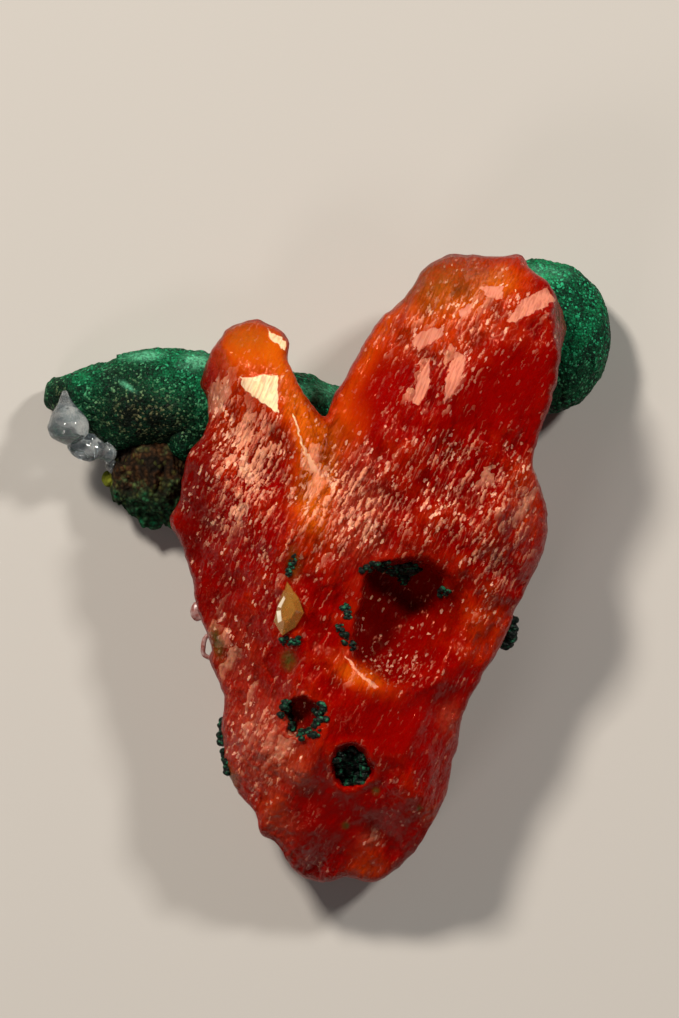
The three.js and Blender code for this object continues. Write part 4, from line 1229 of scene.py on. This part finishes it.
print(earth.name, len(tree.nodes), "nodes")

# %% [markdown]
# The crusts in the hollows are the same green as the malachite but finer and nearly black, with a
# few bright specks and a little more shine.

# %% The crust material
crust_stone, tree, mm = new_material("Malachite crust, dark and fine")
specks = add(tree, "TexVoronoi", {"Vector": mm, "Scale": 9.0, "Randomness": 1.0})
pick = add(tree, "SeparateColor", [specks.outputs["Color"]])
dark = layered(tree, srgb("#08281C"), [
    (add(tree, "MapRange", [specks, 0.1, 0.7]), 1.0, "#020705"),
    (add(tree, "MapRange", [pick, 0.82, 0.95]), 1.0, "#1A6446"),
])
shader = add(tree, "BsdfPrincipled", {
    "Base Color": dark,
    "Roughness": 0.45,
    "IOR": 1.4,
    "Specular IOR Level": 0.3,
    "Normal": bumped(tree, add(tree, "Math", [specks, -0.04], operation="MULTIPLY")),
})
add(tree, "OutputMaterial", {"Surface": shader})
for piece in crusts:
    piece.data.materials.append(crust_stone)
print(crust_stone.name, len(tree.nodes), "nodes")

# %% [markdown]
# ## Chalcedony
# Chalcedony is clear, faintly milky and blue-grey. Its surface is smooth, with a pale veil in
# patches, and it takes up some light inside, bluish grey.

# %% The chalcedony material
milky, tree, mm = new_material("Chalcedony, faintly milky")
veil = add(tree, "TexNoise", {"Vector": mm, "Scale": 2.2, "Detail": 5.0, "Roughness": 0.7})
greyish = add(tree, "MapRange", [veil, 0.4, 0.62])
shader = add(tree, "BsdfPrincipled", {
    "Base Color": layered(tree, srgb("#E4ECEE"), [(greyish, 1.0, "#8E9EA6")]),
    "Roughness": 0.05,
    "IOR": 1.5,
    "Transmission Weight": 0.85,
})
inside = add(tree, "VolumeAbsorption", {"Color": srgb("#9FB0B8"), "Density": 80.0})
add(tree, "OutputMaterial", {"Surface": shader, "Volume": inside})
drop.data.materials.append(milky)
print(milky.name, len(tree.nodes), "nodes")

# %% [markdown]
# ## The amber crystal's clear stone
# It is clear with an orange-brown body, and sharper in lustre than glass, which the higher IOR gives. Two
# streaks along its left edge are painted pale as reflections of the light, and are not see-through.

# %% The amber crystal's material
AMBER_GLINTS = [
    [(-1.98, -1.45), (-1.72, -1.0), (-1.66, -1.12), (-1.84, -1.5)],
    [(-2.02, -1.62), (-1.84, -1.58), (-1.8, -2.0), (-1.96, -2.1)],
]
clear, tree, mm = new_material("Amber-coloured crystal, clear")
# Painted highlight: the two streaks get a pale colour and less transmission
glint = add(tree, "Math", [inside_facet(tree, mm, g) for g in AMBER_GLINTS], operation="MAXIMUM")
shader = add(tree, "BsdfPrincipled", {
    "Base Color": layered(tree, srgb("#F0AC48"), [(glint, 1.0, "#FFF4DC")]),
    "Roughness": 0.04,
    "IOR": 1.7,
    "Transmission Weight": add(tree, "MapRange", [glint, 0.0, 1.0, 0.7, 0.1]),
})
inside = add(tree, "VolumeAbsorption", {"Color": srgb("#D88C28"), "Density": 350.0})
add(tree, "OutputMaterial", {"Surface": shader, "Volume": inside})
amber.data.materials.append(clear)
print(clear.name, len(tree.nodes), "nodes")

# %% [markdown]
# ## Floor
# The specimen lies on a plain pale board, which is matte, so that it shows soft shadows and nothing
# else. It is wide enough to fill the view.

# %% The floor
SPAN = 0.9
floor_corners = [(-SPAN, -SPAN, 0), (SPAN, -SPAN, 0), (SPAN, SPAN, 0), (-SPAN, SPAN, 0)]
floor_mesh = bpy.data.meshes.new("Floor")
floor_mesh.from_pydata(floor_corners, [], [(0, 1, 2, 3)])
floor = bpy.data.objects.new("Floor", floor_mesh)
bpy.context.collection.objects.link(floor)
paper = bpy.data.materials.new("Pale matte board")
paper.use_nodes = True
board = paper.node_tree.nodes["Principled BSDF"]
board.inputs["Base Color"].default_value = srgb("#C0BEB9")
board.inputs["Roughness"].default_value = 0.9
floor_mesh.materials.append(paper)
print("floor", 2 * SPAN, "m wide")

# %% [markdown]
# ## Lights
# The crystals glint from the upper left, so the key softbox stands there. A weaker one stands to the
# upper right, and a broad dim one at the lower left opens the shadows. The room itself gives almost
# no light, because a bright one would lay a grey veil over the red.

# %% Softboxes and room
AIM = Vector((0, 0, 0.004))


def softbox(name, bearing, from_top, distance, width, watts, colour):
    """A square light at a bearing and an angle from straight above, turned to the specimen."""
    b, a = np.radians(bearing), np.radians(from_top)
    place = Vector((np.sin(a) * np.cos(b), np.sin(a) * np.sin(b), np.cos(a))) * distance
    data = bpy.data.lights.new(name, "AREA")
    data.size = width
    data.energy = watts
    data.color = srgb(colour)[:3]
    light = bpy.data.objects.new(name, data)
    light.location = place
    light.rotation_euler = (AIM - place).to_track_quat("-Z", "Y").to_euler()
    light.visible_camera = False
    bpy.context.collection.objects.link(light)
    print(name, "at", [round(value, 3) for value in place], "m")


softbox("Key softbox", 125, 42, 0.34, 0.048, 1.12, "#FFF4E8")
softbox("Right softbox", 40, 46, 0.34, 0.042, 0.6, "#FFF8F0")
softbox("Lower softbox", 235, 50, 0.34, 0.08, 0.14, "#FFF0EC")
world = bpy.data.worlds.new("Soft room")
world.use_nodes = True
world.node_tree.nodes["Background"].inputs["Color"].default_value = srgb("#D8DCE0")
world.node_tree.nodes["Background"].inputs["Strength"].default_value = 0.06
bpy.context.scene.world = world
# The plain view keeps the stone's red as saturated as it is; the default one would turn it salmon.
bpy.context.scene.view_settings.view_transform = "Standard"

# %% [markdown]
# ## Camera
# The camera looks straight down from a bit more than a quarter of a metre, through a long lens. Its
# focal length follows from the frame: 1018 pixels tall, at 25 to the millimetre at the specimen.

# %% The camera
FRAME_HEIGHT = 1018 / 25 * MM
CAMERA_HEIGHT = 0.285
SHARPEST_HEIGHT = 0.005
SENSOR = 24
lens = bpy.data.cameras.new("Camera")
lens.sensor_fit = "VERTICAL"
lens.sensor_height = SENSOR
lens.lens = SENSOR * (CAMERA_HEIGHT - SHARPEST_HEIGHT) / FRAME_HEIGHT
lens.clip_start = 0.01
camera = bpy.data.objects.new("Camera", lens)
camera.location = (0.48 * MM, 2.42 * MM, CAMERA_HEIGHT)
bpy.context.collection.objects.link(camera)
bpy.context.scene.camera = camera
print("lens", round(lens.lens, 1), "mm")
